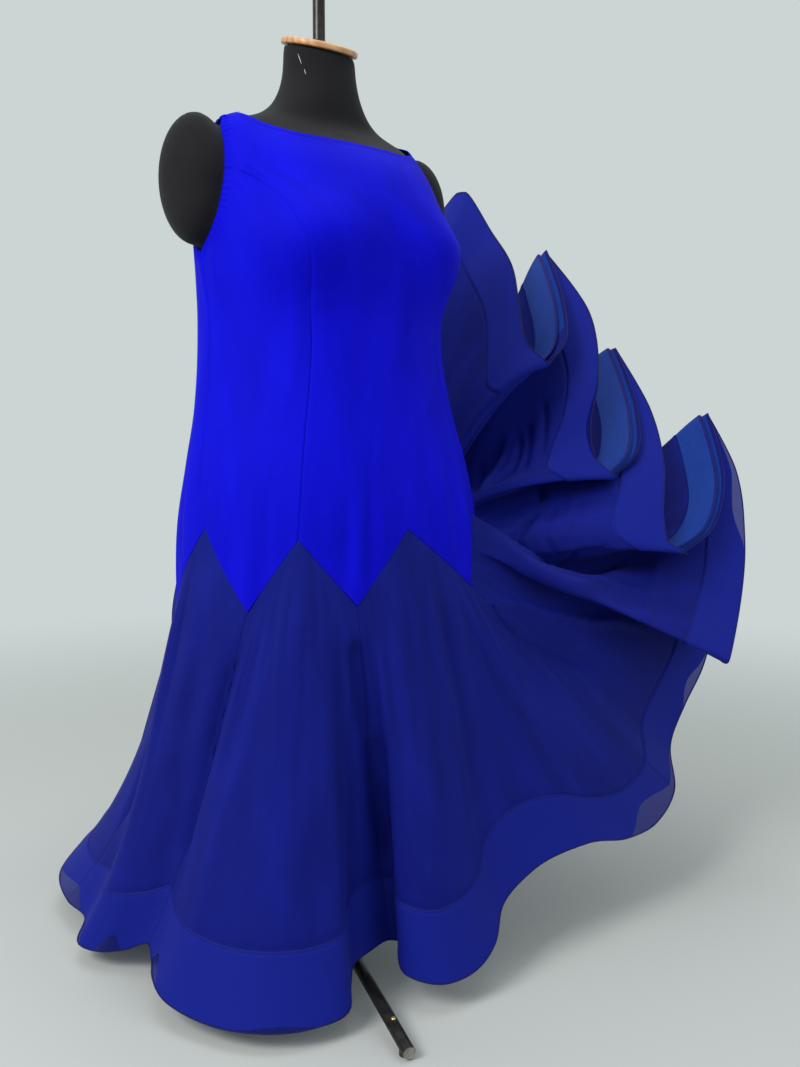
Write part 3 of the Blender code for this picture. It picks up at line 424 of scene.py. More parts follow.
NECK_FRONT = (
    (0.00, 90.0, 1.3000),
    (0.05, 90.0, 1.3055),
    (0.10, 90.0, 1.3105),
    (0.16, 62.0, 1.3000),
    (0.22, 47.0, 1.2860),
    (0.30, 32.0, 1.2750),
    (0.40, 15.0, 1.2720),
    (0.50, 0.0, 1.2710),
)
NECK_BACK = (
    (0.00, 90.0, 1.3000),
    (0.05, 90.0, 1.3055),
    (0.10, 90.0, 1.3105),
    (0.16, 117.0, 1.3010),
    (0.22, 131.0, 1.2900),
    (0.30, 146.0, 1.2760),
    (0.40, 164.0, 1.2660),
    (0.50, 180.0, 1.2630),
)

# Dress form: arm stubs, neck cap, pole and tripod
STUB_CENTRE = (0.208, 0.020, 1.213)
STUB_RADII = (0.050, 0.060, 0.094)
NECK_TOP = 1.432
NECK_TILT = 16.7
CAP_RADIUS = 0.0595
CAP_EDGE = 0.009
CAP_DOME = 0.005
POLE_RADIUS = 0.0095
POLE_TOP = 1.600
LOWER_POLE_RADIUS = 0.0125
HUB_RADIUS = 0.027
HUB_BOTTOM = 0.032
HUB_TOP = 0.110
LEG_RADIUS = 0.0095
LEG_REACH = 0.3576
LEG_END_Z = 0.0125
LEG_HUB_Z = 0.068
LEG_ANGLE = -107.6
LEG_COUNT = 3
PAD_RADIUS = 0.0075
PAD_HEIGHT = 0.009
PAD_REACH = 0.340
MATE_GAP = 0.0003
# Rounded edges of the cap, its dome's rings as shares of its radius, and cuts at ends of tubes
CAP_ROUND_LOW = 0.0025
CAP_ROUND_HIGH = 0.004
DOME_RINGS = (0.90, 0.80, 0.66, 0.50, 0.34, 0.22)
DOME_SPREAD = 0.94
DOME_SHARE = 0.9
POLE_SEAT = 0.002
TUBE_CUT = 0.0008
LEG_START = 0.6
SCREW_BACK = 0.060
# Turned shapes: how far out and how high. The collar's are counted from the pole's radius.
COLLAR_STEPS = (
    (0.0, 0.0),
    (0.0024, 0.0),
    (0.0028, 0.0006),
    (0.0028, 0.0016),
    (0.0022, 0.0022),
    (0.0, 0.0022),
)
SCREW_HEAD = ((0.0034, 0.0), (0.0034, 0.0008), (0.0028, 0.0016), (0.0016, 0.0021), (0.0006, 0.0022))

PLACE_STEP = 0.0004
PATCH_FADE = 3
MITRE_LIMIT = 1.0
BEND_GAP = 0.0018
SLANT_LIMIT = 0.35
LIFT_GAP = 0.0042
DEGREE_LENGTH = 0.0033
PIN_FADE = 0.16

# How finely the scene's cloth is sampled, and how it is finished
SKIRT_SAMPLE = 0.009
SKIRT_LEAST = 5
SKIRT_MOST = 34
SKIRT_ROWS = 54
BAND_ROWS = 12
FACING_ROWS = 14
TURN_IN = 0.004
RIM_WIDTH = 0.007
RIM_HEIGHT = 0.0005
STITCH_PITCH = 0.0032
STITCH_LENGTH = 0.0021
STITCH_RADIUS = 0.00028
PIPING_RADIUS = 0.0013
BINDING = 0.009
CHIFFON_WALL = 0.0007
# Extra lines of points beside each seam (share of the way round) and at the band's upper edge
SEAM_PLACES = (-0.0009, -0.0003, 0.0003, 0.0009)
BAND_LINES = (0.006, 0.0025, 0.0, -0.003, -0.008)
BAND_RISE = 0.0018
BAND_GROOVE = 0.0012
BAND_FLARE = 0.0035
TUCK_HEIGHTS = (0.006, 0.001)
TUCK_UNDER = 0.0008
LAYER_SHORT = 0.019
LAYER_APART = 0.0034
ROW_BUNCHING = 1.15
LOWER_HALF = 0.5
HEM_STEPS = 41
SAME_PLACE = 1e-9
SHELL_SHARP = 60.0
# The soft step at the band's edge, its groove and line, and how much flare the lifted side loses
BAND_STEP = 0.003
BAND_LINE = 0.0016
GROOVE_WIDTH = 0.0025
FLARE_LOST = 0.8
BARE_LEAST = 0.002
# The dip and the dark line of a seam between gores
SEAM_DIP = 0.0010
SEAM_DIP_WIDTH = 0.003
SEAM_LINE = 0.0012
# Piping and stitches at the hem. The cord's sides are turned from a direction that it never takes.
CORD_SIDES = 6
CORD_UP = (0.31, 0.17, 0.93)
BAND_STITCH_UP = 0.0015
STITCH_SUNK = 0.2
# Corners of one stitch: along it in half lengths, across it and up in radii, and its faces
STITCH_CORNERS = (
    (-1, 0, 0),
    (-0.5, 1, 0.2),
    (-0.5, 0, 1),
    (-0.5, -1, 0.2),
    (0.5, 1, 0.2),
    (0.5, 0, 1),
    (0.5, -1, 0.2),
    (1, 0, 0),
)
STITCH_TIPS = ((0, 2, 1), (0, 3, 2), (7, 4, 5), (7, 5, 6))
STITCH_BODY = ((1, 2, 5, 4), (2, 3, 6, 5))
# The lifted side in hip angles, and how gently it starts and ends
LIFTED_FROM = 36.0
LIFTED_FROM_FADE = 4.0
LIFTED_TO = 158.0
LIFTED_TO_FADE = 10.0
# How fast creases rise and die out along their length, and how their width changes
CREASE_IN = 3.0
CREASE_OUT = 1.6
CREASE_NARROW = 0.45
CREASE_WIDENS = 0.75
FOLD_IN = 4.0
FOLD_HEAD = 0.6
FOLD_OUT = 1.5
FOLD_WIDE = 1.15
FOLD_NARROWS = 0.45
# Turned edges, grooves, gathers and seams of the bodice
RIM_STEP = 0.0015
ARM_RIM_HEIGHT = 0.0008
NECK_GROOVE = 0.0004
NECK_GROOVE_WIDTH = 0.0012
ARM_GROOVE = 0.0005
ARM_GROOVE_WIDTH = 0.0013
PUCKER_FROM = 0.004
# Unevenness of the gathers: share, turns in radians per metre, start. The last is of their spacing.
PUCKER_EVEN = 0.7
PUCKER_WAVES = ((0.3, 61.0, 0.0), (0.25, 143.0, 1.0))
PUCKER_DRIFT = (0.9, 83.0)
TURN_DROP = 0.6
TURN_ROUND = 0.3
TURN_ROWS = 3
PANEL_DIP = 0.0010
PANEL_DIP_WIDTH = 0.0024
PANEL_SHARP = 70.0
SEAM_TOP = 1.205
STITCH_IN = 0.0004
NECK_STITCH_UP = 0.0002
ARM_STITCH_UP = 0.0006
STITCH_ENDS = 4
# Points along the bodice's edges, and the hip corners of its seams from front to back
NECK_POINTS = 160
ARM_POINTS = 240
LONG_SEAM_POINTS = 190
SHOULDER_POINTS = 52
WIDE_POINTS = 150
SIDE_SEAM_POINTS = 170
UNDERARM_POINTS = 76
LEFT_CORNERS = (42.0, 82.0, 136.0)
RIGHT_CORNERS = (-40.5, -79.0, -136.0)
# Rings of the form (lowest, highest, how many), and how its jersey is blended
FORM_TURN = 5.0
FORM_LOW_LEVELS = (0.606, 0.614)
FORM_BODY_LEVELS = (0.625, 1.230, 52)
FORM_NECK_LEVELS = (1.238, 1.425, 34)
FORM_RING_GAP = 0.002
STUB_SIDES = 48
STUB_RINGS = 28
JERSEY_WELD = 0.00005
JERSEY_VOXEL = 0.0055
JERSEY_SOFTEN = 0.5
JERSEY_ROUNDS = 10
# Chalk marks on the neck: angle and height at each end
CHALK_MARKS = ((-68.0, 1.412, -60.0, 1.396), (-54.0, 1.388, -50.0, 1.380))
CHALK_POINTS = 14
CHALK_HALF = 0.0006
CHALK_LEAST = 0.05
CHALK_OUT = 0.0004

# Creases of the skirt: soft ridges (height over 0) and troughs (under 0) that run down the cloth.
# Columns: hip angle and share of the way down at the start, the same at the end, width, height.
SKIRT_CREASES = (
    (-19.0, 0.02, -15.5, 0.62, 0.010, -0.0030),
    (-16.0, 0.05, -11.0, 0.80, 0.014, 0.0040),
    (-12.0, 0.03, -7.5, 0.70, 0.011, -0.0030),
    (-8.0, 0.10, -3.5, 0.86, 0.016, 0.0042),
    (-4.5, 0.04, -1.0, 0.55, 0.009, -0.0024),
    (-1.0, 0.02, 1.5, 0.60, 0.008, 0.0024),
    (1.5, 0.05, 5.5, 0.78, 0.013, -0.0032),
    (5.5, 0.03, 10.0, 0.66, 0.012, 0.0030),
    (10.0, 0.06, 13.5, 0.80, 0.013, -0.0032),
    (14.0, 0.03, 16.5, 0.70, 0.012, 0.0034),
    (18.5, 0.05, 20.5, 0.75, 0.014, -0.0034),
    (23.0, 0.03, 24.0, 0.62, 0.015, 0.0030),
    (28.0, 0.10, 28.0, 0.80, 0.018, -0.0030),
    (118.0, 0.10, 119.0, 0.60, 0.010, 0.0030),
    (124.0, 0.06, 126.0, 0.70, 0.013, -0.0034),
    (133.0, 0.05, 136.0, 0.80, 0.016, 0.0036),
    (141.0, 0.08, 143.0, 0.75, 0.014, -0.0032),
    (149.0, 0.04, 150.0, 0.66, 0.013, 0.0032),
    (155.5, 0.07, 156.0, 0.72, 0.015, -0.0032),
    (165.0, 0.04, 164.5, 0.70, 0.013, 0.0034),
    (171.0, 0.06, 172.0, 0.82, 0.012, -0.0030),
    (178.0, 0.03, 178.5, 0.68, 0.014, 0.0036),
    (184.0, 0.08, 186.0, 0.78, 0.012, -0.0034),
    (192.0, 0.04, 192.5, 0.64, 0.012, 0.0030),
    (197.0, 0.06, 199.0, 0.80, 0.015, -0.0032),
    (205.0, 0.03, 206.0, 0.70, 0.014, 0.0036),
    (213.0, 0.05, 214.5, 0.75, 0.013, -0.0030),
    (221.0, 0.04, 222.0, 0.66, 0.012, 0.0030),
    (229.0, 0.06, 230.0, 0.82, 0.016, -0.0034),
    (238.0, 0.03, 239.5, 0.72, 0.013, 0.0034),
    (245.0, 0.06, 246.5, 0.76, 0.012, -0.0030),
    (253.0, 0.04, 255.0, 0.70, 0.014, 0.0032),
    (261.0, 0.05, 262.5, 0.80, 0.013, -0.0032),
    (270.0, 0.03, 271.0, 0.66, 0.012, 0.0032),
    (277.0, 0.05, 278.0, 0.74, 0.012, -0.0028),
    (285.0, 0.03, 286.5, 0.72, 0.011, 0.0034),
    (290.5, 0.05, 292.0, 0.80, 0.012, -0.0032),
    (296.5, 0.04, 297.5, 0.68, 0.010, 0.0030),
    (304.0, 0.03, 304.5, 0.74, 0.010, -0.0028),
    (308.0, 0.05, 309.5, 0.82, 0.013, 0.0034),
    (312.5, 0.04, 313.5, 0.70, 0.010, -0.0028),
    (318.0, 0.03, 318.5, 0.66, 0.012, 0.0032),
    (323.0, 0.05, 323.5, 0.78, 0.013, -0.0034),
    (328.0, 0.03, 328.5, 0.74, 0.012, 0.0034),
    (333.0, 0.05, 332.5, 0.80, 0.011, -0.0032),
    (336.5, 0.03, 336.0, 0.60, 0.008, 0.0024),
)

# Fold lines of the skirt, across its ribs or down its seams: width, height, then hip angle and
# share of the way from the hip to the band at points along the fold.
LINE_STEPS = 40
LINE_FADE = 5.0
LINE_MARGIN = 7.0
FOLD_LINES = (
    (0.010, 0.009, ((29.5, 0.03), (33.3, 0.17), (34.3, 0.37), (35.0, 0.59), (35.2, 0.72), (35.2, 0.93))),
    (0.010, -0.008, ((29.0, 0.09), (32.0, 0.25), (32.9, 0.44), (33.6, 0.70))),
    (0.016, 0.009, ((42.0, 0.04), (39.5, 0.16), (38.0, 0.30), (40.4, 0.50), (52.0, 0.60), (57.4, 0.66))),
    (0.008, -0.006, ((41.0, 0.22), (42.0, 0.33), (46.0, 0.43), (52.0, 0.47), (56.0, 0.57))),
    (0.008, -0.006, ((63.5, 0.36), (64.7, 0.45), (66.0, 0.60), (67.4, 0.76), (68.4, 0.98))),
    (0.007, -0.009, ((64.5, 0.15), (67.0, 0.25), (70.9, 0.376), (73.2, 0.49))),
    (0.006, -0.007, ((63.5, 0.22), (66.0, 0.30), (69.0, 0.357), (73.3, 0.50))),
    (0.008, -0.010, ((80.0, 0.60), (76.0, 0.52), (73.5, 0.49))),
    (0.007, -0.009, ((84.5, 0.45), (87.0, 0.62), (90.0, 0.65), (96.3, 0.63))),
    (0.006, 0.006, ((84.5, 0.36), (88.7, 0.43), (93.0, 0.52), (97.0, 0.59))),
    (0.007, -0.008, ((84.8, 0.80), (90.0, 0.74), (95.2, 0.69))),
    (0.005, -0.006, ((95.7, 0.81), (91.1, 0.86), (86.0, 0.96))),
    (0.008, -0.008, ((85.0, 0.28), (92.0, 0.33), (97.6, 0.39))),
    (0.006, -0.005, ((73.3, 0.61), (70.1, 0.55), (66.0, 0.48))),
    (0.006, 0.005, ((73.6, 0.70), (71.2, 0.71), (68.2, 0.63))),
    (0.006, 0.004, ((54.0, 0.76), (41.4, 0.78), (38.0, 0.84))),
    (0.014, -0.014, ((337.8, 0.12), (338.6, 0.28), (339.2, 0.50))),
    (0.016, -0.016, ((-20.5, 0.42), (-20.2, 0.60), (-19.6, 0.82), (-17.0, 0.97))),
    (0.013, -0.010, ((301.4, 0.05), (301.6, 0.35), (302.2, 0.65), (303.5, 0.98))),
    (0.012, -0.008, ((252.0, 0.08), (252.5, 0.45), (253.0, 0.90))),
    (0.012, -0.008, ((202.0, 0.06), (202.3, 0.45), (202.0, 0.90))),
    (0.012, -0.008, ((158.5, 0.06), (159.5, 0.45), (160.5, 0.88))),
    (0.010, 0.007, ((124.0, 0.25), (131.0, 0.36), (140.0, 0.42), (150.0, 0.40))),
    (0.009, -0.007, ((122.0, 0.36), (130.0, 0.47), (141.0, 0.52))),
)

# Where the crepe falls short of the chiffon's hem, so that the chiffon shows alone.
# Columns: hip angle in the middle, half its spread, how far short.
SHEER_ROWS = (
    (29.3, 4.6, 0.060),
    (34.6, 0.9, 0.032),
    (53.0, 8.0, 0.034),
    (87.0, 7.0, 0.018),
    (108.0, 6.0, 0.010),
    (252.0, 8.0, 0.044),
    (268.0, 6.0, 0.022),
    (284.0, 7.0, 0.036),
    (308.0, 3.6, 0.036),
    (322.0, 6.0, 0.012),
)
SHORT_LEAST = 0.004
FACING_LIFT = 0.0016

# Creases of the bodice.
# Columns: angle and height at the start, the same at the end, width, height off the cloth.
BODICE_FOLDS = (
    (-20.6, 0.612, -19.0, 0.800, 0.0080, 0.0030),
    (-24.0, 0.655, -23.0, 0.860, 0.0070, -0.0022),
    (-15.5, 0.650, -14.5, 0.840, 0.0070, -0.0024),
    (-11.0, 0.670, -10.0, 0.790, 0.0060, 0.0016),
    (-30.0, 0.690, -29.5, 0.800, 0.0070, 0.0014),
    (32.0, 0.622, 28.0, 0.800, 0.0080, 0.0030),
    (26.0, 0.650, 22.0, 0.830, 0.0075, -0.0026),
    (19.0, 0.680, 15.5, 0.850, 0.0075, 0.0020),
    (37.0, 0.690, 35.0, 0.820, 0.0060, -0.0018),
    (12.0, 0.720, 9.5, 0.860, 0.0070, -0.0014),
    (58.0, 0.620, 56.0, 0.800, 0.0080, 0.0028),
    (65.0, 0.660, 62.0, 0.830, 0.0075, -0.0024),
    (50.0, 0.680, 49.0, 0.800, 0.0070, -0.0016),
    (108.0, 0.620, 108.0, 0.820, 0.0085, 0.0028),
    (101.0, 0.670, 101.5, 0.810, 0.0070, -0.0020),
    (117.0, 0.670, 116.0, 0.830, 0.0080, -0.0022),
    (158.0, 0.620, 160.0, 0.800, 0.0085, 0.0028),
    (150.0, 0.670, 152.0, 0.820, 0.0075, -0.0022),
    (168.0, 0.690, 169.0, 0.800, 0.0070, -0.0018),
    (202.0, 0.615, 201.0, 0.790, 0.0085, 0.0030),
    (194.0, 0.670, 193.5, 0.820, 0.0075, -0.0020),
    (211.0, 0.670, 209.0, 0.810, 0.0070, -0.0020),
    (252.0, 0.600, 253.0, 0.800, 0.0085, 0.0030),
    (243.0, 0.670, 245.0, 0.820, 0.0070, -0.0022),
    (262.0, 0.670, 261.0, 0.830, 0.0080, -0.0020),
    (302.0, 0.605, 302.5, 0.820, 0.0080, 0.0030),
    (295.0, 0.660, 296.0, 0.830, 0.0070, -0.0022),
    (309.0, 0.660, 308.0, 0.810, 0.0070, -0.0022),
    (-62.0, 1.222, -50.0, 1.196, 0.0050, 0.0022),
    (-66.0, 1.210, -54.0, 1.186, 0.0040, -0.0022),
    (-69.0, 1.203, -60.0, 1.172, 0.0050, 0.0014),
    (62.0, 1.222, 51.0, 1.196, 0.0050, 0.0020),
    (66.0, 1.210, 54.0, 1.186, 0.0040, -0.0020),
    (-97.0, 1.095, -88.0, 1.000, 0.0070, 0.0018),
    (-86.0, 1.118, -82.0, 1.020, 0.0060, 0.0014),
    (97.0, 1.095, 88.0, 1.000, 0.0070, 0.0018),
    (86.0, 1.118, 82.0, 1.020, 0.0060, 0.0014),
    (-35.5, 1.030, -20.0, 1.035, 0.0090, 0.0010),
    (35.5, 1.030, 20.0, 1.035, 0.0090, 0.0010),
    (160.0, 0.980, 200.0, 0.975, 0.0110, -0.0026),
    (150.0, 1.005, 190.0, 1.010, 0.0090, 0.0016),
    (172.0, 0.940, 212.0, 0.945, 0.0100, 0.0016),
)
PUCKER_PITCH = 0.0085
PUCKER_REACH = 0.010
PUCKER_HEIGHT = 0.0011


def draw_edges(grid, axis, start, end):
    """Moves the first and last edges of a grid inwards along an axis, to leave the gap of a seam."""
    grid = np.swapaxes(grid, 0, axis).copy()
    first = unit(grid[1] - grid[0])
    last = unit(grid[-2] - grid[-1])
    grid[0] += first * start
    grid[-1] += last * end
    return np.swapaxes(grid, 0, axis)


def grid_walls(grid):
    """The wall direction at each point of a closed grid, longer where the wall turns a corner."""
    ahead = unit(np.roll(grid, -1, axis=0) - grid)
    behind = unit(grid - np.roll(grid, 1, axis=0))
    lean = np.linalg.norm(ahead + behind, axis=-1, keepdims=True) / 2
    down = np.empty_like(grid)
    down[:, 1:-1] = unit(grid[:, 2:] - grid[:, 1:-1]) + unit(grid[:, 1:-1] - grid[:, :-2])
    down[:, 0] = grid[:, 1] - grid[:, 0]
    down[:, -1] = grid[:, -1] - grid[:, -2]
    return unit(np.cross(down, ahead + behind)) / np.maximum(lean, MITRE_LIMIT)


def hip_places():
    """Places round the skirt of each corner of the hip seam."""
    return np.interp(HIP["angle"], RIB_ANGLE, RIB_U)


def from_hem(u, length):
    """How far along each rib a given length measured up from the hem lies."""
    steps = np.linspace(LOWER_HALF, 1.0, HEM_STEPS)
    uu, vv = np.meshgrid(u, steps, indexing="ij")
    points = skirt_at(uu, vv)
    gone = np.linalg.norm(np.diff(points, axis=1), axis=2)[:, ::-1].cumsum(axis=1)
    gone = np.hstack([np.zeros((len(u), 1)), gone])
    back = steps[::-1]
    return np.array([np.interp(length, row, back) for row in gone])


def hip_edge(start, end, count):
    """The hip seam between two angles, with a point at each of its corners."""
    inner = [a for a in np.concatenate([HIP["angle"] - 360, HIP["angle"]]) if start < a < end]
    stops = np.array([start] + inner + [end])
    cells = np.maximum(1, np.round(np.diff(stops) / (end - start) * (count - 1)).astype(int))
    while cells.sum() > count - 1:
        cells[np.argmax(cells)] -= 1
    while cells.sum() < count - 1:
        cells[np.argmax(np.diff(stops) / cells)] += 1
    angle = [start]
    for a, b, n in zip(stops[:-1], stops[1:], cells):
        angle.extend(np.linspace(a, b, n + 1)[1:])
    angle = np.array(angle)
    return np.stack([angle, round_hip("z", angle)], axis=1)


def climb(edge):
    """How far up its own height each point of an edge is, from 0 to 1."""
    return (edge[:, 1] - edge[0, 1]) / (edge[-1, 1] - edge[0, 1])


def patch(bottom, top, left, right, evenness=0.0):
    """A grid of angles and heights between four edges, its rows evened out in the middle if asked."""
    u = np.linspace(0.0, 1.0, len(bottom))[:, None]
    v = np.linspace(0.0, 1.0, len(left))[None, :]
    sides = left[None, :, 0] * (1 - u) + right[None, :, 0] * u
    low = bottom[:, None, 0] - sides[:, :1]
    high = top[:, None, 0] - sides[:, -1:]
    angle = sides + low * (1 - v) ** PATCH_FADE + high * v**PATCH_FADE
    even = evenness * (4 * u * (1 - u)) ** 2
    rise = (climb(left) * (1 - u) + climb(right) * u) * (1 - even) + v * even
    z = bottom[:, None, 1] * (1 - rise) + top[:, None, 1] * rise
    return np.stack([angle, z], axis=-1)


def mirrored(edge):
    """An edge of one side on the other side."""
    edge = np.array(edge, float)
    return edge * [-1.0, 1.0]


def pinned(edge, angle):
    """An edge whose first point is moved to a hip corner, the move fading out up the edge."""
    fade = soft_step(1.0 - (edge[:, 1] - edge[0, 1]) / PIN_FADE)[:, None]
    return edge + (np.array([angle, round_hip("z", angle)]) - edge[0]) * fade


def neck_edge(table, side, count):
    """The neck's edge from shoulder to shoulder, as angles and heights."""
    table = np.array(table, float)
    whole = np.vstack([table, (table * [-1, 1, 1] + [1, 0, 0])[-2::-1]])
    angle = np.concatenate([-table[:, 1], table[-2::-1, 1]])
    if side == "back":
        angle = np.concatenate([table[:, 1], (360.0 - table[:, 1])[-2::-1]])
    at = np.linspace(0, 1, count)
    low, high = (90.0, 270.0) if side == "back" else (-90.0, 90.0)
    angle = np.clip(smooth(whole[:, 0], angle, at), low, high)
    return np.stack([angle, smooth(whole[:, 0], whole[:, 2], at)], axis=1)


def sheet_faces(rows, columns):
    """Faces of a grid of points."""
    i, j = np.meshgrid(np.arange(rows - 1), np.arange(columns - 1), indexing="ij")
    a = (i * columns + j).ravel()
    return np.stack([a, a + 1, a + columns + 1, a + columns], axis=1)


def ring_faces(rings, sides, closed):
    """Faces between rings of points, and from the last ring to the first where they are closed."""
    faces = []
    for i in range(rings if closed else rings - 1):
        k = (i + 1) % rings
        for j in range(sides):
            m = (j + 1) % sides
            faces.append((i * sides + j, i * sides + m, k * sides + m, k * sides + j))
    return faces


def shell_faces(rows, columns):
    """Faces of a thin shell on a grid, and which of its two materials each has."""
    other = rows * columns
    quads = sheet_faces(rows, columns)
    back = quads[:, ::-1] + other
    edge = []
    for j in (0, columns - 1):
        k = np.arange(rows - 1) * columns + j
        side = np.stack([k, k + columns, k + columns + other, k + other], axis=1)
        edge.append(side if j == 0 else side[:, ::-1])
    for i in (0, rows - 1):
        k = i * columns + np.arange(columns - 1)
        side = np.stack([k, k + other, k + 1 + other, k + 1], axis=1)
        edge.append(side if i == 0 else side[:, ::-1])
    faces = np.vstack([quads, back] + edge)
    slots = np.concatenate([
        np.zeros(len(quads), int),
        np.ones(len(back), int),
        np.zeros(len(faces) - len(quads) - len(back), int),
    ])
    return faces, slots


def put(name, data):
    """A new object in the scene, with the given data."""
    made = bpy.data.objects.new(name, data)
    bpy.context.scene.collection.objects.link(made)
    return made


def make_mesh(name, points, faces, materials, slots=None, uv=None, values=None, sharp=None):
    """A smooth mesh piece at its place in the frame, with its map, its values and its materials."""
    data = bpy.data.meshes.new(name)
    faces = faces.tolist() if isinstance(faces, np.ndarray) else faces
    data.from_pydata((np.asarray(points) + PLACE).tolist(), [], faces)
    data.update()
    for one in materials:
        data.materials.append(one)
    data.polygons.foreach_set("use_smooth", np.ones(len(data.polygons), bool))
    if slots is not None:
        data.polygons.foreach_set("material_index", np.asarray(slots, np.int32))
    if uv is not None:
        corner = np.zeros(len(data.loops), np.int32)
        data.loops.foreach_get("vertex_index", corner)
        layer = data.uv_layers.new(name="UVMap")
        layer.data.foreach_set("uv", np.asarray(uv, np.float32)[corner].ravel())
    for key, value in (values or {}).items():
        attribute = data.attributes.new(key, "FLOAT", "POINT")
        attribute.data.foreach_set("value", np.asarray(value, np.float32).ravel())
    if sharp is not None:
        data.set_sharp_from_angle(angle=math.radians(sharp))
    return put(name, data)


def shell_piece(name, grid, square, wall, materials, along, up, values=None):
    """A thin shell on a grid, with its outer and inner materials, mapped along and up the cloth."""
    rows, columns = grid.shape[:2]
    points = np.vstack([(grid + square * side * wall / 2).reshape(-1, 3) for side in (1.0, -1.0)])
    faces, slots = shell_faces(rows, columns)
    uv = np.stack([np.repeat(along[:, None], columns, axis=1), up], axis=-1)
    uv = np.vstack([uv.reshape(-1, 2)] * 2)
    return make_mesh(name, points, faces, materials, slots, uv, values, sharp=SHELL_SHARP)


def wear(piece, slot_name, *nodes):
    """The piece rides on the one body and stands for the nodes, which it hides. The slot name is not used.
    """
    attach(piece, "root")
    if nodes:
        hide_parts(*nodes)
    return piece


def lengths(grid, axis):
    """How far along its axis each point of a grid lies."""
    step = np.linalg.norm(np.diff(grid, axis=axis), axis=-1)
    gone = np.cumsum(step, axis=axis)
    return np.concatenate([np.zeros_like(np.take(gone, [0], axis=axis)), gone], axis=axis)


def round_offset(angle, middle):
    """The turn from one angle to another, the short way round."""
    return (angle - middle + 180.0) % 360.0 - 180.0


def skirt_places():
    """Places round the skirt, close together where a fold turns tightly, and each hip corner."""
    places = [RIB_U]
    for a, b, near, far in zip(RIB_U[:-1], RIB_U[1:], RIB_HEM[:-1], RIB_HEM[1:]):
        length = np.linalg.norm(far - near)
        count = int(np.clip(round(length / SKIRT_SAMPLE), SKIRT_LEAST, SKIRT_MOST))
        places.append(np.linspace(a, b, count + 1)[1:-1])
    places = np.unique(np.concatenate(places))
    corners = np.append(hip_places(), 1.0)
    clear = np.abs(places[:, None] - corners[None, :]).min(axis=1) > PLACE_STEP
    beside = (corners[::2, None] + np.array(SEAM_PLACES)[None, :]).ravel()
    beside = beside[(beside > 0.0) & (beside < 1.0)]
    return np.sort(np.concatenate([places[clear], corners, beside]))


def crease_lift(angle, down, middle):
    """How far the skirt's soft creases move each point of its grid outwards."""
    lift = np.zeros(down.shape)
    turn = np.gradient(angle)[:, None]
    reach = np.linalg.norm(np.gradient(middle, axis=0), axis=-1) / np.maximum(turn, 1e-6)
    for a0, d0, a1, d1, width, height in SKIRT_CREASES:
        share = (down - d0) / (d1 - d0)
        line = a0 + (a1 - a0) * np.clip(share, 0.0, 1.0)
        off = round_offset(angle[:, None], line) * reach
        fade = soft_step(share * CREASE_IN) * soft_step((1.0 - share) * CREASE_OUT)
        spread = width * (CREASE_NARROW + CREASE_WIDENS * np.clip(share, 0.0, 1.0))
        lift += height * fade * np.exp(-((off / spread) ** 2))
    return lift


def line_lift(skirt, plain, top):
    """How far the fold lines move each point of the skirt's grid outwards."""
    lift = np.zeros(plain.shape[:2])
    share = np.linspace(0.0, 1.0, LINE_STEPS)
    fade = soft_step(np.minimum(share, 1.0 - share) * LINE_FADE)
    for width, height, knots in FOLD_LINES:
        knots = np.array(knots)
        at = np.linspace(0.0, 1.0, len(knots))
        angle = smooth(at, knots[:, 0], share)
        u = np.interp(angle, RIB_ANGLE, RIB_U)
        v = smooth(at, knots[:, 1], share) * np.interp(u, skirt.places, top[:, 0])
        path = skirt_at(u, np.clip(v, 0.0, 1.0))
        middle = (angle.min() + angle.max()) / 2
        reach = angle.max() - middle + LINE_MARGIN
        rows = np.abs(round_offset(skirt.angle, middle)) < reach
        apart = np.linalg.norm(plain[rows][:, :, None] - path, axis=-1)
        near = apart.argmin(axis=-1)
        lift[rows] += height * fade[near] * np.exp(-((apart.min(axis=-1) / width) ** 2))
    return lift


def lifted_share(angle):
    """How much each place belongs to the lifted side, by hip angle."""
    start = soft_step((angle - LIFTED_FROM) / LIFTED_FROM_FADE)
    return start * soft_step((LIFTED_TO - angle) / LIFTED_TO_FADE)


def short_of_hem(angle):
    """How far short of the chiffon's hem the crepe ends, by hip angle."""
    short = np.full(angle.shape, SHORT_LEAST)
    for middle, spread, depth in SHEER_ROWS:
        off = round_offset(angle, middle) / spread
        short = np.maximum(short, depth * soft_step(1.0 - np.abs(off)))
    return short


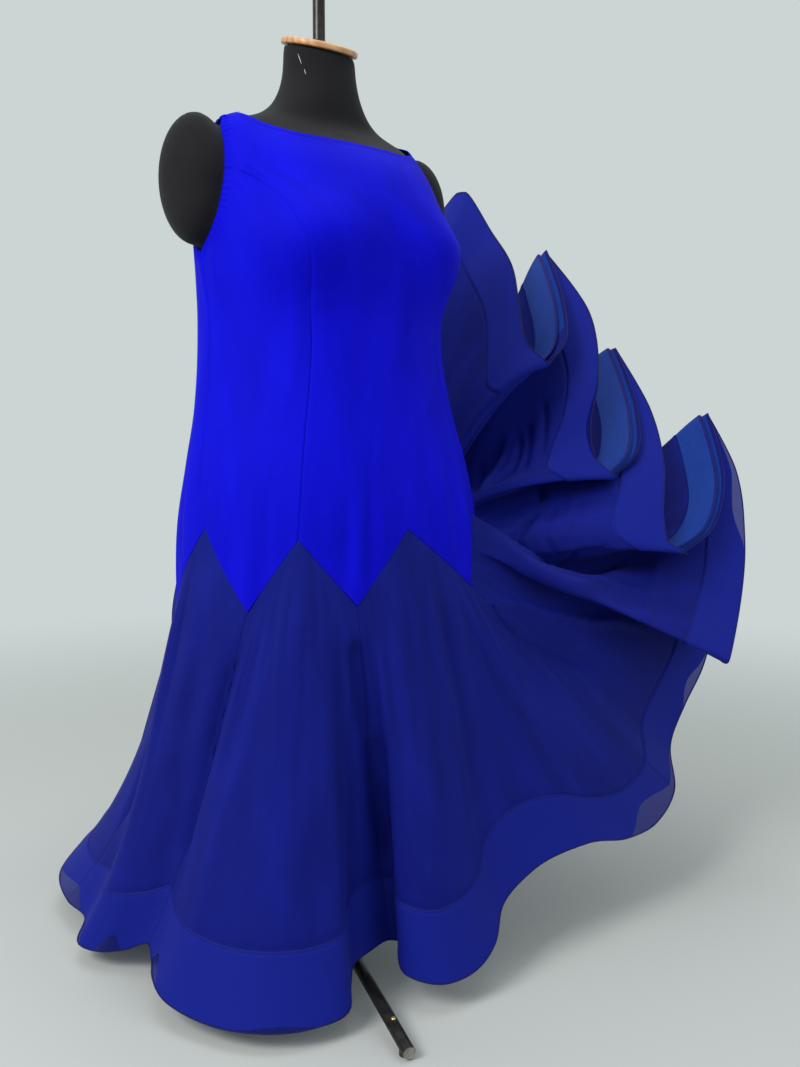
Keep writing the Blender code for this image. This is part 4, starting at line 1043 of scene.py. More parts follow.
class Skirt:
    """The skirt's fine grid, shared by its gores, its facing and its edges."""

    def __init__(self):
        self.places = skirt_places()
        self.angle = np.interp(self.places, RIB_U, RIB_ANGLE)
        self.lifted = lifted_share(self.angle)
        lines = [from_hem(self.places, BAND_WIDTH + off)[:, None] for off in BAND_LINES]
        top = lines[0]
        above = top * np.linspace(0.0, 1.0, SKIRT_ROWS) ** ROW_BUNCHING
        within = lines[-1] + (1.0 - lines[-1]) * np.linspace(0.0, 1.0, BAND_ROWS)
        self.down = np.hstack([above] + lines[1:-1] + [within])
        across = np.repeat(self.places[:, None], self.down.shape[1], axis=1)
        plain = skirt_at(across, self.down)
        self.square = self.walls(plain)
        share = np.clip(self.down / top, 0.0, 1.0)
        lift = crease_lift(self.angle, share, plain) + line_lift(self, plain, top)
        self.depth = BAND_WIDTH - lengths(plain[:, ::-1], 1)[:, ::-1]
        lift = lift + self.band_lift()
        self.middle = plain + self.square * lift[..., None]
        self.square = self.walls(self.middle)
        self.from_hem = lengths(self.middle[:, ::-1], 1)[:, ::-1]
        self.along = np.concatenate([[0.0], np.cumsum(
            np.linalg.norm(np.diff(self.middle[:, -1], axis=0), axis=1))])
        self.short = short_of_hem(self.angle)

    def band_lift(self):
        """The stiffened band stands a little proud of the cloth above it and flares to the hem."""
        step = BAND_RISE * soft_step(self.depth / BAND_STEP + 0.5)
        groove = BAND_GROOVE * np.exp(-(((self.depth + GROOVE_WIDTH) / GROOVE_WIDTH) ** 2))
        flare = np.clip(self.depth / BAND_WIDTH, 0.0, 1.0) ** 2 * BAND_FLARE
        return step - groove + flare * (1.0 - FLARE_LOST * self.lifted[:, None])

    @staticmethod
    def walls(grid):
        normal = grid_walls(grid[:-1])
        return np.vstack([normal, normal[:1]])


def from_band(skirt, length):
    """Points and walls of the skirt so far up from the hem, one for each place."""
    points = np.empty((len(skirt.places), 3))
    walls = np.empty_like(points)
    length = np.broadcast_to(length, (len(skirt.places),))
    for i in range(len(skirt.places)):
        gone = skirt.from_hem[i, ::-1]
        for axis in range(3):
            points[i, axis] = np.interp(length[i], gone, skirt.middle[i, ::-1, axis])
            walls[i, axis] = np.interp(length[i], gone, skirt.square[i, ::-1, axis])
    return points, unit(walls)


def seam_tuck(skirt, rows, height):
    """The top edge of a gore, turned up between the bodice and the body."""
    angle = skirt.angle[rows]
    z = round_hip("z", angle)
    out = BODICE_CLEAR + hang_off(angle, z) - TUCK_UNDER
    return body_at(angle, z + height, out)


def gores(skirt, looks):
    """The eight gores of chiffon over crepe, each on its own solid."""
    middle, normal = skirt.middle, skirt.square
    _, square, _ = hip_seam(skirt.angle)
    leave = unit(middle[:, 1] - middle[:, 0])
    bend = np.clip((leave * square).sum(axis=1), 0.0, 1.0)
    rise = np.clip(leave[:, 2], 0.0, 1.0)
    seam = unit(np.gradient(middle[:, 0], axis=0))
    slant = np.maximum(np.linalg.norm(np.cross(leave, seam), axis=1), SLANT_LIMIT)
    lead = HIP_GAP / 2 + (BODICE_WALL / 2 + BEND_GAP) * bend + LIFT_GAP * rise
    lead = (lead / slant)[:, None]
    seams = np.append(hip_places()[0::2], 1.0)
    made = {}
    for name, start, end in zip(GORE_NAMES, seams[:-1], seams[1:]):
        rows = (skirt.places > start - SAME_PLACE) & (skirt.places < end + SAME_PLACE)
        grid = draw_edges(middle[rows], 1, lead[rows], 0.0)
        wall = normal[rows]
        edge, line = seam_dip(grid)
        grid = grid - wall * edge[..., None]
        tucks = [seam_tuck(skirt, rows, height) for height in TUCK_HEIGHTS]
        grid = np.concatenate([tuck[0][:, None] for tuck in tucks] + [grid], axis=1)
        wall = np.concatenate([tuck[1][:, None] for tuck in tucks] + [wall], axis=1)
        extra = len(tucks)
        gone = draw_up(skirt.from_hem[rows], extra)
        depth = draw_up(skirt.depth[rows], extra)
        line = np.maximum(draw_up(line, extra), np.exp(-((depth / BAND_LINE) ** 2)))
        bare = skirt.short[rows] - SHORT_LEAST
        lined = skirt.lifted[rows] * (bare < BARE_LEAST)
        values = {
            "bare": np.repeat(bare[:, None], grid.shape[1], axis=1),
            "lined": np.repeat(lined[:, None], grid.shape[1], axis=1),
            "band": soft_step(depth / BAND_STEP + 0.5),
            "line": line,
        }
        values = {key: np.concatenate([value.ravel()] * 2) for key, value in values.items()}
        piece = shell_piece("skirt_" + name, grid, wall, CHIFFON_WALL,
                            [looks["chiffon"], looks["chiffon_inside"]],
                            skirt.along[rows], gone, values)
        made[name] = wear(piece, "skirt", name)
    return made


def draw_up(grid, extra):
    """The grid with its first column repeated for the turned-up edge."""
    return np.hstack([np.repeat(grid[:, :1], extra, axis=1), grid])


def seam_dip(grid):
    """How far a gore's cloth sinks towards the seams at its two sides, and where the seams show."""
    from_start = lengths(grid, 0)
    from_end = lengths(grid[::-1], 0)[::-1]
    near = np.minimum(from_start, from_end)
    dip = SEAM_DIP * np.exp(-((near / SEAM_DIP_WIDTH) ** 2))
    return dip, np.exp(-((near / SEAM_LINE) ** 2))


def facing(skirt, looks):
    """The second layer's hem with its azure facing, a little inside and short of the first."""
    shares = np.linspace(0.0, 1.0, FACING_ROWS)
    grid = np.empty((len(skirt.places), FACING_ROWS, 3))
    wall = np.empty_like(grid)
    up = np.empty((len(skirt.places), FACING_ROWS))
    short = skirt.short + skirt.lifted * LAYER_SHORT
    for j, share in enumerate(shares):
        length = BAND_WIDTH + (short - BAND_WIDTH) * share
        point, square = from_band(skirt, length)
        off = SKIRT_WALL / 2 + LAYER_GAP + BAND_WALL / 2 + FACING_LIFT * share
        off = off + skirt.lifted * LAYER_APART * share
        grid[:, j] = point - square * off[:, None]
        wall[:, j] = square
        up[:, j] = length - short
    piece = shell_piece("hem_facing", grid, wall, BAND_WALL, [looks["crepe_dark"], looks["facing"]],
                        skirt.along, up)
    return wear(piece, "hem_facing", "hem_band")


def closed_cord(name, path, radius, material, slot_name):
    """A round cord along a closed path of points."""
    ahead = unit(np.roll(path, -1, axis=0) - np.roll(path, 1, axis=0))
    across = unit(np.cross(ahead, CORD_UP))
    over = np.cross(ahead, across)
    turn = np.linspace(0.0, math.tau, CORD_SIDES, endpoint=False)
    ring = across[:, None] * np.cos(turn)[:, None] + over[:, None] * np.sin(turn)[:, None]
    points = (path[:, None] + ring * radius).reshape(-1, 3)
    faces = ring_faces(len(path), CORD_SIDES, True)
    uv = np.stack([np.repeat(lengths(path, 0), CORD_SIDES), np.tile(turn, len(path))], axis=1)
    return wear(make_mesh(name, points, faces, [material], uv=uv), slot_name)


def even_path(path, pitch):
    """The points of a path again, evenly spaced, with the direction at each."""
    gone = lengths(path, 0)
    count = max(2, int(gone[-1] / pitch))
    at = (np.arange(count) + 0.5) * gone[-1] / count
    points = np.stack([np.interp(at, gone, path[:, k]) for k in range(3)], axis=1)
    return points, unit(np.gradient(points, axis=0))


def stitches(name, path, square, material, slot_name):
    """A row of short raised stitches on the cloth along a path."""
    at, ahead = even_path(path, STITCH_PITCH)
    gone = lengths(path, 0)
    where = lengths(at, 0) + gone[-1] / len(at) / 2
    up = unit(np.stack([np.interp(where, gone, square[:, k]) for k in range(3)], axis=1))
    side = np.cross(ahead, up)
    half = STITCH_LENGTH / 2
    corners = [
        at + ahead * along * half + side * wide * STITCH_RADIUS + up * high * STITCH_RADIUS
        for along, wide, high in STITCH_CORNERS
    ]
    points = np.stack(corners, axis=1).reshape(-1, 3)
    first = np.arange(len(at))[:, None, None] * len(STITCH_CORNERS)
    faces = (np.array(STITCH_TIPS) + first).reshape(-1, 3).tolist()
    faces += (np.array(STITCH_BODY) + first).reshape(-1, 4).tolist()
    return wear(make_mesh(name, points, faces, [material]), slot_name)


def skirt_trim(skirt, looks):
    """The dark piping on the chiffon's hem, and the row of stitches above the band."""
    closed_cord("hem_piping", skirt.middle[:-1, -1], PIPING_RADIUS, looks["piping"], "skirt")
    path, square = from_band(skirt, BAND_WIDTH + BAND_STITCH_UP)
    out = CHIFFON_WALL / 2 + STITCH_RADIUS * STITCH_SUNK
    stitches("band_stitches", path + square * out, square, looks["thread_dark"], "skirt")


def along_shares(table, shares):
    """Points at shares of the way along an edge table of angle and height."""
    table = np.array(table, float)
    step = np.hypot(np.diff(table[:, 0]) * DEGREE_LENGTH, np.diff(table[:, 1]))
    gone = np.concatenate([[0.0], np.cumsum(step)])
    return smooth(gone, table, shares * gone[-1])


def joined_fine(first, second):
    """A long seam and the armhole's edge above it as one edge."""
    return np.vstack([
        along_shares(first, np.linspace(0.0, 1.0, LONG_SEAM_POINTS)),
        along_shares(second, np.linspace(0.0, 1.0, SHOULDER_POINTS))[1:],
    ])


def arm_edge(side):
    """The whole edge of one armhole, from the shoulder down the front and up the back."""
    front = np.array(ARMHOLE_FRONT[::-1] + ARMHOLE_UNDER_FRONT[1:])
    back = np.array(ARMHOLE_UNDER_BACK[1:] + ARMHOLE_BACK[1:])
    return np.vstack([front, back]) * [side, 1.0]


def nearest_on(path, points):
    """How far each point is from a path, and how far along the path the nearest place is."""
    gone = lengths(path, 0)
    near = np.full(len(points), 1e9)
    where = np.zeros(len(points))
    for a, b, start in zip(path[:-1], path[1:], gone[:-1]):
        span = b - a
        size = np.linalg.norm(span)
        t = np.clip(((points - a) @ span) / size**2, 0.0, 1.0)
        far = np.linalg.norm(points - (a + t[:, None] * span), axis=1)
        closer = far < near
        near[closer] = far[closer]
        where[closer] = start + t[closer] * size
    return near, where


def fold_lift(angle, z):
    """How far the bodice's soft creases move each point outwards."""
    lift = np.zeros(z.shape)
    for a0, z0, a1, z1, width, height in BODICE_FOLDS:
        turn = round_offset(angle, a0) * DEGREE_LENGTH
        rise = z - z0
        line = np.array([(a1 - a0) * DEGREE_LENGTH, z1 - z0])
        size = np.hypot(*line)
        along = (turn * line[0] + rise * line[1]) / size**2
        off = (turn * line[1] - rise * line[0]) / size
        fade = soft_step(along * FOLD_IN + FOLD_HEAD) * soft_step((1.0 - along) * FOLD_OUT)
        spread = width * (FOLD_WIDE - FOLD_NARROWS * np.clip(along, 0.0, 1.0))
        lift += height * fade * np.exp(-((off / spread) ** 2))
    return lift


def edge_finish(points, arms):
    """The turned edges of the neck and armholes, and the gathers along the armholes."""
    lift = np.zeros(len(points))
    for path in NECK_PATHS:
        near, _ = nearest_on(path, points)
        lift += rim(near, RIM_HEIGHT, NECK_GROOVE, NECK_GROOVE_WIDTH)
    for path in arms:
        near, where = nearest_on(path, points)
        lift += rim(near, ARM_RIM_HEIGHT, ARM_GROOVE, ARM_GROOVE_WIDTH)
        uneven = np.full(len(points), PUCKER_EVEN)
        for share, turn, start in PUCKER_WAVES:
            uneven += share * np.sin(where * turn + start)
        drift = PUCKER_DRIFT[0] * np.sin(where * PUCKER_DRIFT[1])
        wave = np.sin(math.tau * where / PUCKER_PITCH + drift)
        lift += PUCKER_HEIGHT * uneven * wave * np.exp(-((near - PUCKER_FROM) / PUCKER_REACH) ** 2)
    return lift


def rim(near, height, groove, width):
    """The raised turned edge of the bodice, with the groove of its stitches at its inner side."""
    raised = height * soft_step((RIM_WIDTH - near) / RIM_STEP)
    return raised - groove * np.exp(-(((near - RIM_WIDTH) / width) ** 2))


def turned(grid, wall):
    """The grid with its four edges turned in under themselves by a thin, rounded step."""
    for axis in (0, 1):
        grid = np.swapaxes(grid, 0, axis)
        wall = np.swapaxes(wall, 0, axis)
        first = unit(grid[1] - grid[0])
        last = unit(grid[-2] - grid[-1])
        drop = BODICE_WALL * TURN_DROP
        before = np.stack([grid[0] - wall[0] * drop + first * TURN_IN,
                           grid[0] - wall[0] * drop, grid[0] - wall[0] * drop * TURN_ROUND])
        after = np.stack([grid[-1] - wall[-1] * drop * TURN_ROUND, grid[-1] - wall[-1] * drop,
                          grid[-1] - wall[-1] * drop + last * TURN_IN])
        grid = np.concatenate([before, grid, after])
        wall = np.concatenate([wall[:1]] * TURN_ROWS + [wall] + [wall[-1:]] * TURN_ROWS)
        grid = np.swapaxes(grid, 0, axis)
        wall = np.swapaxes(wall, 0, axis)
    return grid


def bodice_piece(name, grid, looks, arms):
    """One bodice panel on a fine grid of angles and heights."""
    angle, z = grid[..., 0], grid[..., 1]
    out = BODICE_CLEAR + BODICE_WALL + hang_off(angle, z)
    plain, normal = body_at(angle, z, out)
    plain = draw_edges(plain, 0, SEAM_GAP / 4, SEAM_GAP / 4)
    plain = draw_edges(plain, 1, HIP_GAP / 2, SEAM_GAP / 4)
    lift = fold_lift(angle, z)
    flat = plain.reshape(-1, 3)
    lift = lift + edge_finish(flat, arms).reshape(lift.shape)
    near = np.minimum(lengths(plain, 0), lengths(plain[::-1], 0)[::-1])
    dip = PANEL_DIP * np.exp(-((near / PANEL_DIP_WIDTH) ** 2))
    lift = lift - np.where(z < SEAM_TOP, dip, 0.0)
    middle = plain + normal * lift[..., None]
    shape = turned(middle, normal)
    faces = sheet_faces(*shape.shape[:2])
    uv = np.stack([np.pad(lengths(plain, axis), TURN_ROWS, mode="edge") for axis in (0, 1)], axis=-1)
    piece = make_mesh("crepe_" + name, shape.reshape(-1, 3), faces, [looks["crepe"]],
                      uv=uv.reshape(-1, 2), sharp=PANEL_SHARP)
    return wear(piece, "bodice", name)


def side_hip(start, end):
    """The hip seam of a side panel from front to back, on either side of the body."""
    if end > start:
        return hip_edge(start, end, UNDERARM_POINTS)
    return hip_edge(end + 360.0, start + 360.0, UNDERARM_POINTS)[::-1] - [360.0, 0.0]


def bodice(looks):
    """The six panels of crepe: front, back and two at each side."""
    arms = {sign: on_bodice(arm_points(sign))[0] for sign in (1.0, -1.0)}
    both = [arms[1.0], arms[-1.0]]
    made = {}
    left = pinned(joined_fine(mirrored(PRINCESS_FRONT), mirrored(ARMHOLE_FRONT)), RIGHT_CORNERS[0])
    right = pinned(joined_fine(PRINCESS_FRONT, ARMHOLE_FRONT), LEFT_CORNERS[0])
    hip = hip_edge(RIGHT_CORNERS[0], LEFT_CORNERS[0], WIDE_POINTS)
    grid = patch(hip, neck_edge(NECK_FRONT, "front", WIDE_POINTS), left, right)
    made["bodice_front"] = bodice_piece("bodice_front", grid, looks, both)
    left = joined_fine(PRINCESS_BACK, ARMHOLE_BACK)
    right = pinned(left * [-1, 1] + [360, 0], RIGHT_CORNERS[2] + 360.0)
    hip = hip_edge(LEFT_CORNERS[2], RIGHT_CORNERS[2] + 360.0, WIDE_POINTS)
    grid = patch(hip, neck_edge(NECK_BACK, "back", WIDE_POINTS), left, right, evenness=1.0)
    made["bodice_back"] = bodice_piece("bodice_back", grid, looks, both)
    shares = np.linspace(0.0, 1.0, SIDE_SEAM_POINTS)
    arc = np.linspace(0.0, 1.0, UNDERARM_POINTS)
    seams = (PRINCESS_FRONT, SIDE_SEAM, PRINCESS_BACK)
    for side, sign, corners in (("left", 1.0, LEFT_CORNERS), ("right", -1.0, RIGHT_CORNERS)):
        turn = np.array([sign, 1.0])
        edges = [pinned(along_shares(seam, shares) * turn, corner) for seam, corner in zip(seams, corners)]
        tops = [along_shares(under, arc) * turn for under in (ARMHOLE_UNDER_FRONT, ARMHOLE_UNDER_BACK)]
        for k, where in enumerate(("front", "back")):
            name = "bodice_side_" + where + "_" + side
            grid = patch(side_hip(corners[k], corners[k + 1]), tops[k], edges[k], edges[k + 1])
            grid = grid if sign > 0 else grid[::-1]
            made[name] = bodice_piece(name, grid, looks, [arms[sign]])
    return made


def arm_points(side):
    """The armhole's edge of one side, as angles and heights."""
    return along_shares(arm_edge(side), np.linspace(0.0, 1.0, ARM_POINTS))


def on_bodice(edge, above=0.0):
    """Points and normals of an edge of angles and heights, on the bodice's outer side."""
    return body_at(edge[:, 0], edge[:, 1], BODICE_CLEAR + BODICE_WALL + above)


NECK_PATHS = [
    on_bodice(neck_edge(table, side, NECK_POINTS))[0]
    for table, side in ((NECK_FRONT, "front"), (NECK_BACK, "back"))
]


def inner_row(path, normal, amount):
    """A line moved over the cloth to the left of its own direction."""
    ahead = unit(np.gradient(path, axis=0))
    return path + np.cross(normal, ahead) * amount


def bodice_trim(looks):
    """Rows of stitches along the turned edges of the neck and the two armholes."""
    for name, edge, turn, above in (
        ("neck_stitches_front", neck_edge(NECK_FRONT, "front", NECK_POINTS), -1.0, NECK_STITCH_UP),
        ("neck_stitches_back", neck_edge(NECK_BACK, "back", NECK_POINTS), 1.0, NECK_STITCH_UP),
        ("arm_stitches_left", arm_points(1.0), 1.0, ARM_STITCH_UP),
        ("arm_stitches_right", arm_points(-1.0), -1.0, ARM_STITCH_UP),
    ):
        path, normal = on_bodice(edge, above)
        row = inner_row(path, normal, turn * (RIM_WIDTH - STITCH_IN))
        inner = slice(STITCH_ENDS, -STITCH_ENDS)
        stitches(name, row[inner], normal[inner], looks["thread"], "bodice")


def torso(looks):
    """The jersey form: rings of the body with rounded arm stubs, blended into one skin."""
    angle = np.arange(0.0, 360.0, FORM_TURN)
    levels = np.concatenate([
        [FORM_BOTTOM], FORM_LOW_LEVELS, np.linspace(*FORM_BODY_LEVELS), np.linspace(*FORM_NECK_LEVELS),
    ])
    rings = [body_at(angle, z, -FORM_CLEAR, inset=1.0)[0] for z in levels]
    rings[0][:, 2] = FORM_BOTTOM
    top = body_at(angle, NECK_TOP, -FORM_CLEAR)[0]
    top[:, 2] = neck_plane(top[:, 1])
    rings = [ring for ring in rings if ring[:, 2].max() < top[:, 2].min() - FORM_RING_GAP] + [top]
    count = len(angle)
    grid = np.stack(rings)
    wrapped = np.concatenate([grid, grid[:, :1]], axis=1)
    points = wrapped.reshape(-1, 3)
    faces = sheet_faces(*wrapped.shape[:2]).tolist()
    caps = (list(range(count))[::-1], [(len(rings) - 1) * (count + 1) + j for j in range(count)])
    piece = make_mesh("jersey_torso", points, faces + [list(cap) for cap in caps], [looks["jersey"]])
    mesh = bmesh.new()
    mesh.from_mesh(piece.data)
    bmesh.ops.remove_doubles(mesh, verts=mesh.verts, dist=JERSEY_WELD)
    bmesh.ops.recalc_face_normals(mesh, faces=mesh.faces)
    mesh.to_mesh(piece.data)
    mesh.free()
    stubs = []
    for side in (1.0, -1.0):
        mesh = bmesh.new()
        bmesh.ops.create_uvsphere(mesh, u_segments=STUB_SIDES, v_segments=STUB_RINGS, radius=1.0)
        bmesh.ops.scale(mesh, verts=mesh.verts, vec=STUB_RADII)
        centre = Vector((STUB_CENTRE[0] * side, STUB_CENTRE[1], STUB_CENTRE[2])) + Vector(PLACE)
        bmesh.ops.translate(mesh, verts=mesh.verts, vec=centre)
        data = bpy.data.meshes.new("stub")
        mesh.to_mesh(data)
        mesh.free()
        stub = put("stub", data)
        stubs.append(stub)
        union = piece.modifiers.new("stub", "BOOLEAN")
        union.operation = "UNION"
        union.object = stub
    blend = piece.modifiers.new("blend", "REMESH")
    blend.mode = "VOXEL"
    blend.voxel_size = JERSEY_VOXEL
    blend.use_smooth_shade = True
    soften = piece.modifiers.new("soften", "SMOOTH")
    soften.factor = JERSEY_SOFTEN
    soften.iterations = JERSEY_ROUNDS
    settle(piece)
    for stub in stubs:
        bpy.data.objects.remove(stub, do_unlink=True)
    return wear(piece, "jersey", "form_torso")


def settle(piece):
    """Applies the piece's modifiers, so that its mesh is the finished one."""
    bpy.context.view_layer.update()
    graph = bpy.context.evaluated_depsgraph_get()
    data = bpy.data.meshes.new_from_object(piece.evaluated_get(graph))
    materials = list(piece.data.materials)
    piece.modifiers.clear()
    piece.data = data
    piece.data.materials.clear()
    for one in materials:
        piece.data.materials.append(one)
    piece.data.polygons.foreach_set("use_smooth", np.ones(len(piece.data.polygons), bool))


def neck_plane(y, lift=0.0):
    """Height of the tilted top of the neck, lower towards the front."""
    return NECK_TOP + lift / math.cos(math.radians(NECK_TILT)) + y * math.tan(math.radians(NECK_TILT))


def turned_piece(name, profile, material, slot_name, sides=72, nodes=(), matrix=None, sharp=35.0):
    """A piece turned from a profile of radius and height, closed on its axis at both ends."""
    profile = np.array(profile, float)
    turn = np.linspace(0.0, math.tau, sides, endpoint=False)
    points = []
    for radius, z in profile:
        points.append(np.stack([radius * np.cos(turn), radius * np.sin(turn), np.full(sides, z)], axis=1))
    points = np.vstack(points)
    faces = ring_faces(len(profile), sides, False)
    faces.append(tuple(range(sides))[::-1])
    faces.append(tuple((len(profile) - 1) * sides + j for j in range(sides)))
    if matrix is not None:
        points = points @ np.array(matrix.to_3x3()).T + np.array(matrix.translation)
    piece = make_mesh(name, points, faces, [material], sharp=sharp)
    return wear(piece, slot_name, *nodes)


def cap_and_poles(looks):
    """The neck's turned wooden cap, the pole above it and the pole below the form."""
    tilt = Matrix.Rotation(math.radians(NECK_TILT), 4, "X")
    place = Matrix.Translation((0.0, 0.0, neck_plane(0.0, MATE_GAP))) @ tilt
    a, b = CAP_ROUND_LOW, CAP_ROUND_HIGH
    round_edge = [(CAP_RADIUS - a + a * math.sin(t), a - a * math.cos(t))
                  for t in np.linspace(0.0, math.pi / 2, 6)]
    upper_edge = [(CAP_RADIUS - b + b * math.cos(t), CAP_EDGE - b + b * math.sin(t))
                  for t in np.linspace(0.0, math.pi / 2, 7)]
    dome = [(CAP_RADIUS * r, CAP_EDGE + CAP_DOME * (1 - (r / DOME_SPREAD) ** 2) * DOME_SHARE)
            for r in DOME_RINGS]
    low = POLE_RADIUS + MATE_GAP
    crown = CAP_EDGE + CAP_DOME * DOME_SHARE
    profile = [(low, 0.0)] + round_edge + upper_edge + dome + [(low, crown)]
    turned_piece("cap_turned", profile, looks["wood"], "wood", 96, ["neck_cap"], place)
    collar = [(POLE_RADIUS + out, z) for out, z in COLLAR_STEPS]
    up = Matrix.Translation((0.0, 0.0, neck_plane(0.0, crown)))
    turned_piece("pole_collar", collar, looks["steel"], "dark_metal", 64, (), up @ tilt)
    r = POLE_RADIUS
    seat = neck_plane(0.0, POLE_SEAT)
    profile = [(r - TUBE_CUT, seat), (r, seat + TUBE_CUT), (r, POLE_TOP - 0.0016),
               (r - 0.0005, POLE_TOP - 0.0005), (r - 0.0016, POLE_TOP)]
    turned_piece("pole_top", profile, looks["steel"], "dark_metal", 48, ["pole_upper"])
    r = LOWER_POLE_RADIUS
    low, high = HUB_TOP + MATE_GAP, FORM_BOTTOM - MATE_GAP
    profile = [(r - TUBE_CUT, low), (r, low + TUBE_CUT), (r, high - TUBE_CUT), (r - TUBE_CUT, high)]
    turned_piece("pole_bottom", profile, looks["steel"], "dark_metal", 48, ["pole_lower"])


def tripod(looks):
    """The stand: a turned hub, three sloping tubes with bright ends and screws, and flat pads."""
    r = HUB_RADIUS
    profile = [(r - 0.003, HUB_BOTTOM), (r - 0.0008, HUB_BOTTOM + 0.001), (r, HUB_BOTTOM + 0.003),
               (r, HUB_TOP - 0.008), (r - 0.001, HUB_TOP - 0.004), (r - 0.004, HUB_TOP - 0.001),
               (r - 0.007, HUB_TOP)]
    turned_piece("stand_hub", profile, looks["steel"], "dark_metal", 72, ["stand"])
    slope = math.atan2(LEG_HUB_Z - LEG_END_Z, LEG_REACH)
    length = LEG_REACH / math.cos(slope)
    r = LEG_RADIUS
    for number in range(LEG_COUNT):
        turn = math.radians(LEG_ANGLE + number * 360.0 / LEG_COUNT)
        lean = Matrix.Rotation(turn, 4, "Z") @ Matrix.Rotation(math.pi / 2 + slope, 4, "Y")
        place = Matrix.Translation((0.0, 0.0, LEG_HUB_Z)) @ lean
        low = HUB_RADIUS * LEG_START
        profile = [(r - 0.001, low), (r, low + 0.001), (r, length - 0.0014),
                   (r - 0.0004, length - 0.0004), (r - 0.0016, length), (r - 0.0022, length - 0.0008),
                   (r - 0.0026, length - 0.010)]
        turned_piece("stand_leg_" + str(number), profile, looks["steel"], "dark_metal", 40, (), place)
        rim = [(r - 0.0021, length - 0.0006), (r - 0.0008, length - 0.0003),
               (r - 0.0004, length + 0.0003), (r - 0.0016, length + 0.0005), (r - 0.0022, length + 0.0001)]
        turned_piece("stand_rim_" + str(number), rim, looks["bare_steel"], "dark_metal", 40, (), place)
        seat = place @ Matrix.Translation((-r - 0.0001, 0.0, length - SCREW_BACK))
        screw = seat @ Matrix.Rotation(-math.pi / 2, 4, "Y")
        turned_piece("stand_screw_" + str(number), SCREW_HEAD, looks["brass"], "dark_metal", 28, (), screw)
        spot = Matrix.Translation((PAD_REACH * math.cos(turn), PAD_REACH * math.sin(turn), 0.0))
        pad = [(PAD_RADIUS - TUBE_CUT, 0.0), (PAD_RADIUS, TUBE_CUT), (PAD_RADIUS, PAD_HEIGHT)]
        turned_piece("stand_pad_" + str(number), pad, looks["rubber"], "dark_metal", 32, (), spot)


def chalk_marks(looks):
    """Two short pale scratches on the jersey of the neck."""
    for number, (angle_0, z_0, angle_1, z_1) in enumerate(CHALK_MARKS):
        t = np.linspace(0.0, 1.0, CHALK_POINTS)
        angle = angle_0 + (angle_1 - angle_0) * t
        z = z_0 + (z_1 - z_0) * t
        path, normal = body_at(angle, z, -FORM_CLEAR + CHALK_OUT)
        side = np.cross(normal, unit(np.gradient(path, axis=0)))
        half = CHALK_HALF * np.sqrt(np.clip(np.sin(math.pi * t), CHALK_LEAST, 1.0))[:, None]
        grid = np.stack([path - side * half, path, path + side * half], axis=1)
        faces = sheet_faces(*grid.shape[:2])
        wear(make_mesh("chalk_mark_" + str(number), grid.reshape(-1, 3), faces, [looks["chalk"]]), "jersey")


class Look:
    """A material with its shader and short ways to add nodes and links."""

    def __init__(self, name, colour, roughness, metallic=0.0):
        self.material = bpy.data.materials.new(name)
        self.material.use_nodes = True
        self.tree = self.material.node_tree
        self.shader = self.tree.nodes["Principled BSDF"]
        self.set("Base Color", (*colour, 1.0))
        self.set("Roughness", roughness)
        self.set("Metallic", metallic)

    def set(self, name, value):
        self.shader.inputs[name].default_value = value

    def node(self, kind, **settings):
        made = self.tree.nodes.new(kind)
        for key, value in settings.items():
            if key in made.inputs:
                made.inputs[key].default_value = value
            else:
                setattr(made, key, value)
        return made

    def link(self, start, end):
        self.tree.links.new(start, end)

    def place(self, mapped=True):
        return self.node("ShaderNodeTexCoord").outputs["UV" if mapped else "Object"]

    def noise(self, scale, detail=2.0, mapped=True, stretch=None):
        made = self.node("ShaderNodeTexNoise", Scale=scale, Detail=detail)
        where = self.place(mapped)
        if stretch is not None:
            shape = self.node("ShaderNodeMapping", Scale=stretch)
            self.link(where, shape.inputs["Vector"])
            where = shape.outputs["Vector"]
        self.link(where, made.inputs["Vector"])
        return made.outputs["Fac"]

    def wave(self, direction, scale, distortion, detail=2.0, mapped=True):
        made = self.node("ShaderNodeTexWave", Scale=scale, Distortion=distortion, Detail=detail)
        made.bands_direction = direction
        self.link(self.place(mapped), made.inputs["Vector"])
        return made.outputs["Fac"]

    def ramp(self, factor, stops):
        made = self.node("ShaderNodeValToRGB")
        ends = made.color_ramp.elements
        ends[0].position, ends[0].color = stops[0][0], (*stops[0][1], 1.0)
        ends[1].position, ends[1].color = stops[-1][0], (*stops[-1][1], 1.0)
        for place, colour in stops[1:-1]:
            ends.new(place).color = (*colour, 1.0)
        self.link(factor, made.inputs["Fac"])
        return made.outputs["Color"]

    def mix(self, factor, first, second):
        made = self.node("ShaderNodeMix", data_type="RGBA")
        self.link(factor, made.inputs["Factor"])
        for socket, value in ((made.inputs[6], first), (made.inputs[7], second)):
            if isinstance(value, tuple):
                socket.default_value = (*value, 1.0)
            else:
                self.link(value, socket)
        return made.outputs[2]

    def bump(self, height, strength, distance, before=None):
        made = self.node("ShaderNodeBump", Strength=strength, Distance=distance)
        self.link(height, made.inputs["Height"])
        if before is not None:
            self.link(before, made.inputs["Normal"])
        return made.outputs["Normal"]

    def show_through(self, share, other):
        """Another shader in place of the look's own, by a share."""
        both = self.node("ShaderNodeMixShader")
        self.link(share, both.inputs[0])
        self.link(self.shader.outputs[0], both.inputs[1])
        self.link(other.outputs[0], both.inputs[2])
        self.link(both.outputs[0], self.tree.nodes["Material Output"].inputs["Surface"])

    def colour(self, socket):
        self.link(socket, self.shader.inputs["Base Color"])

    def normal(self, socket):
        self.link(socket, self.shader.inputs["Normal"])


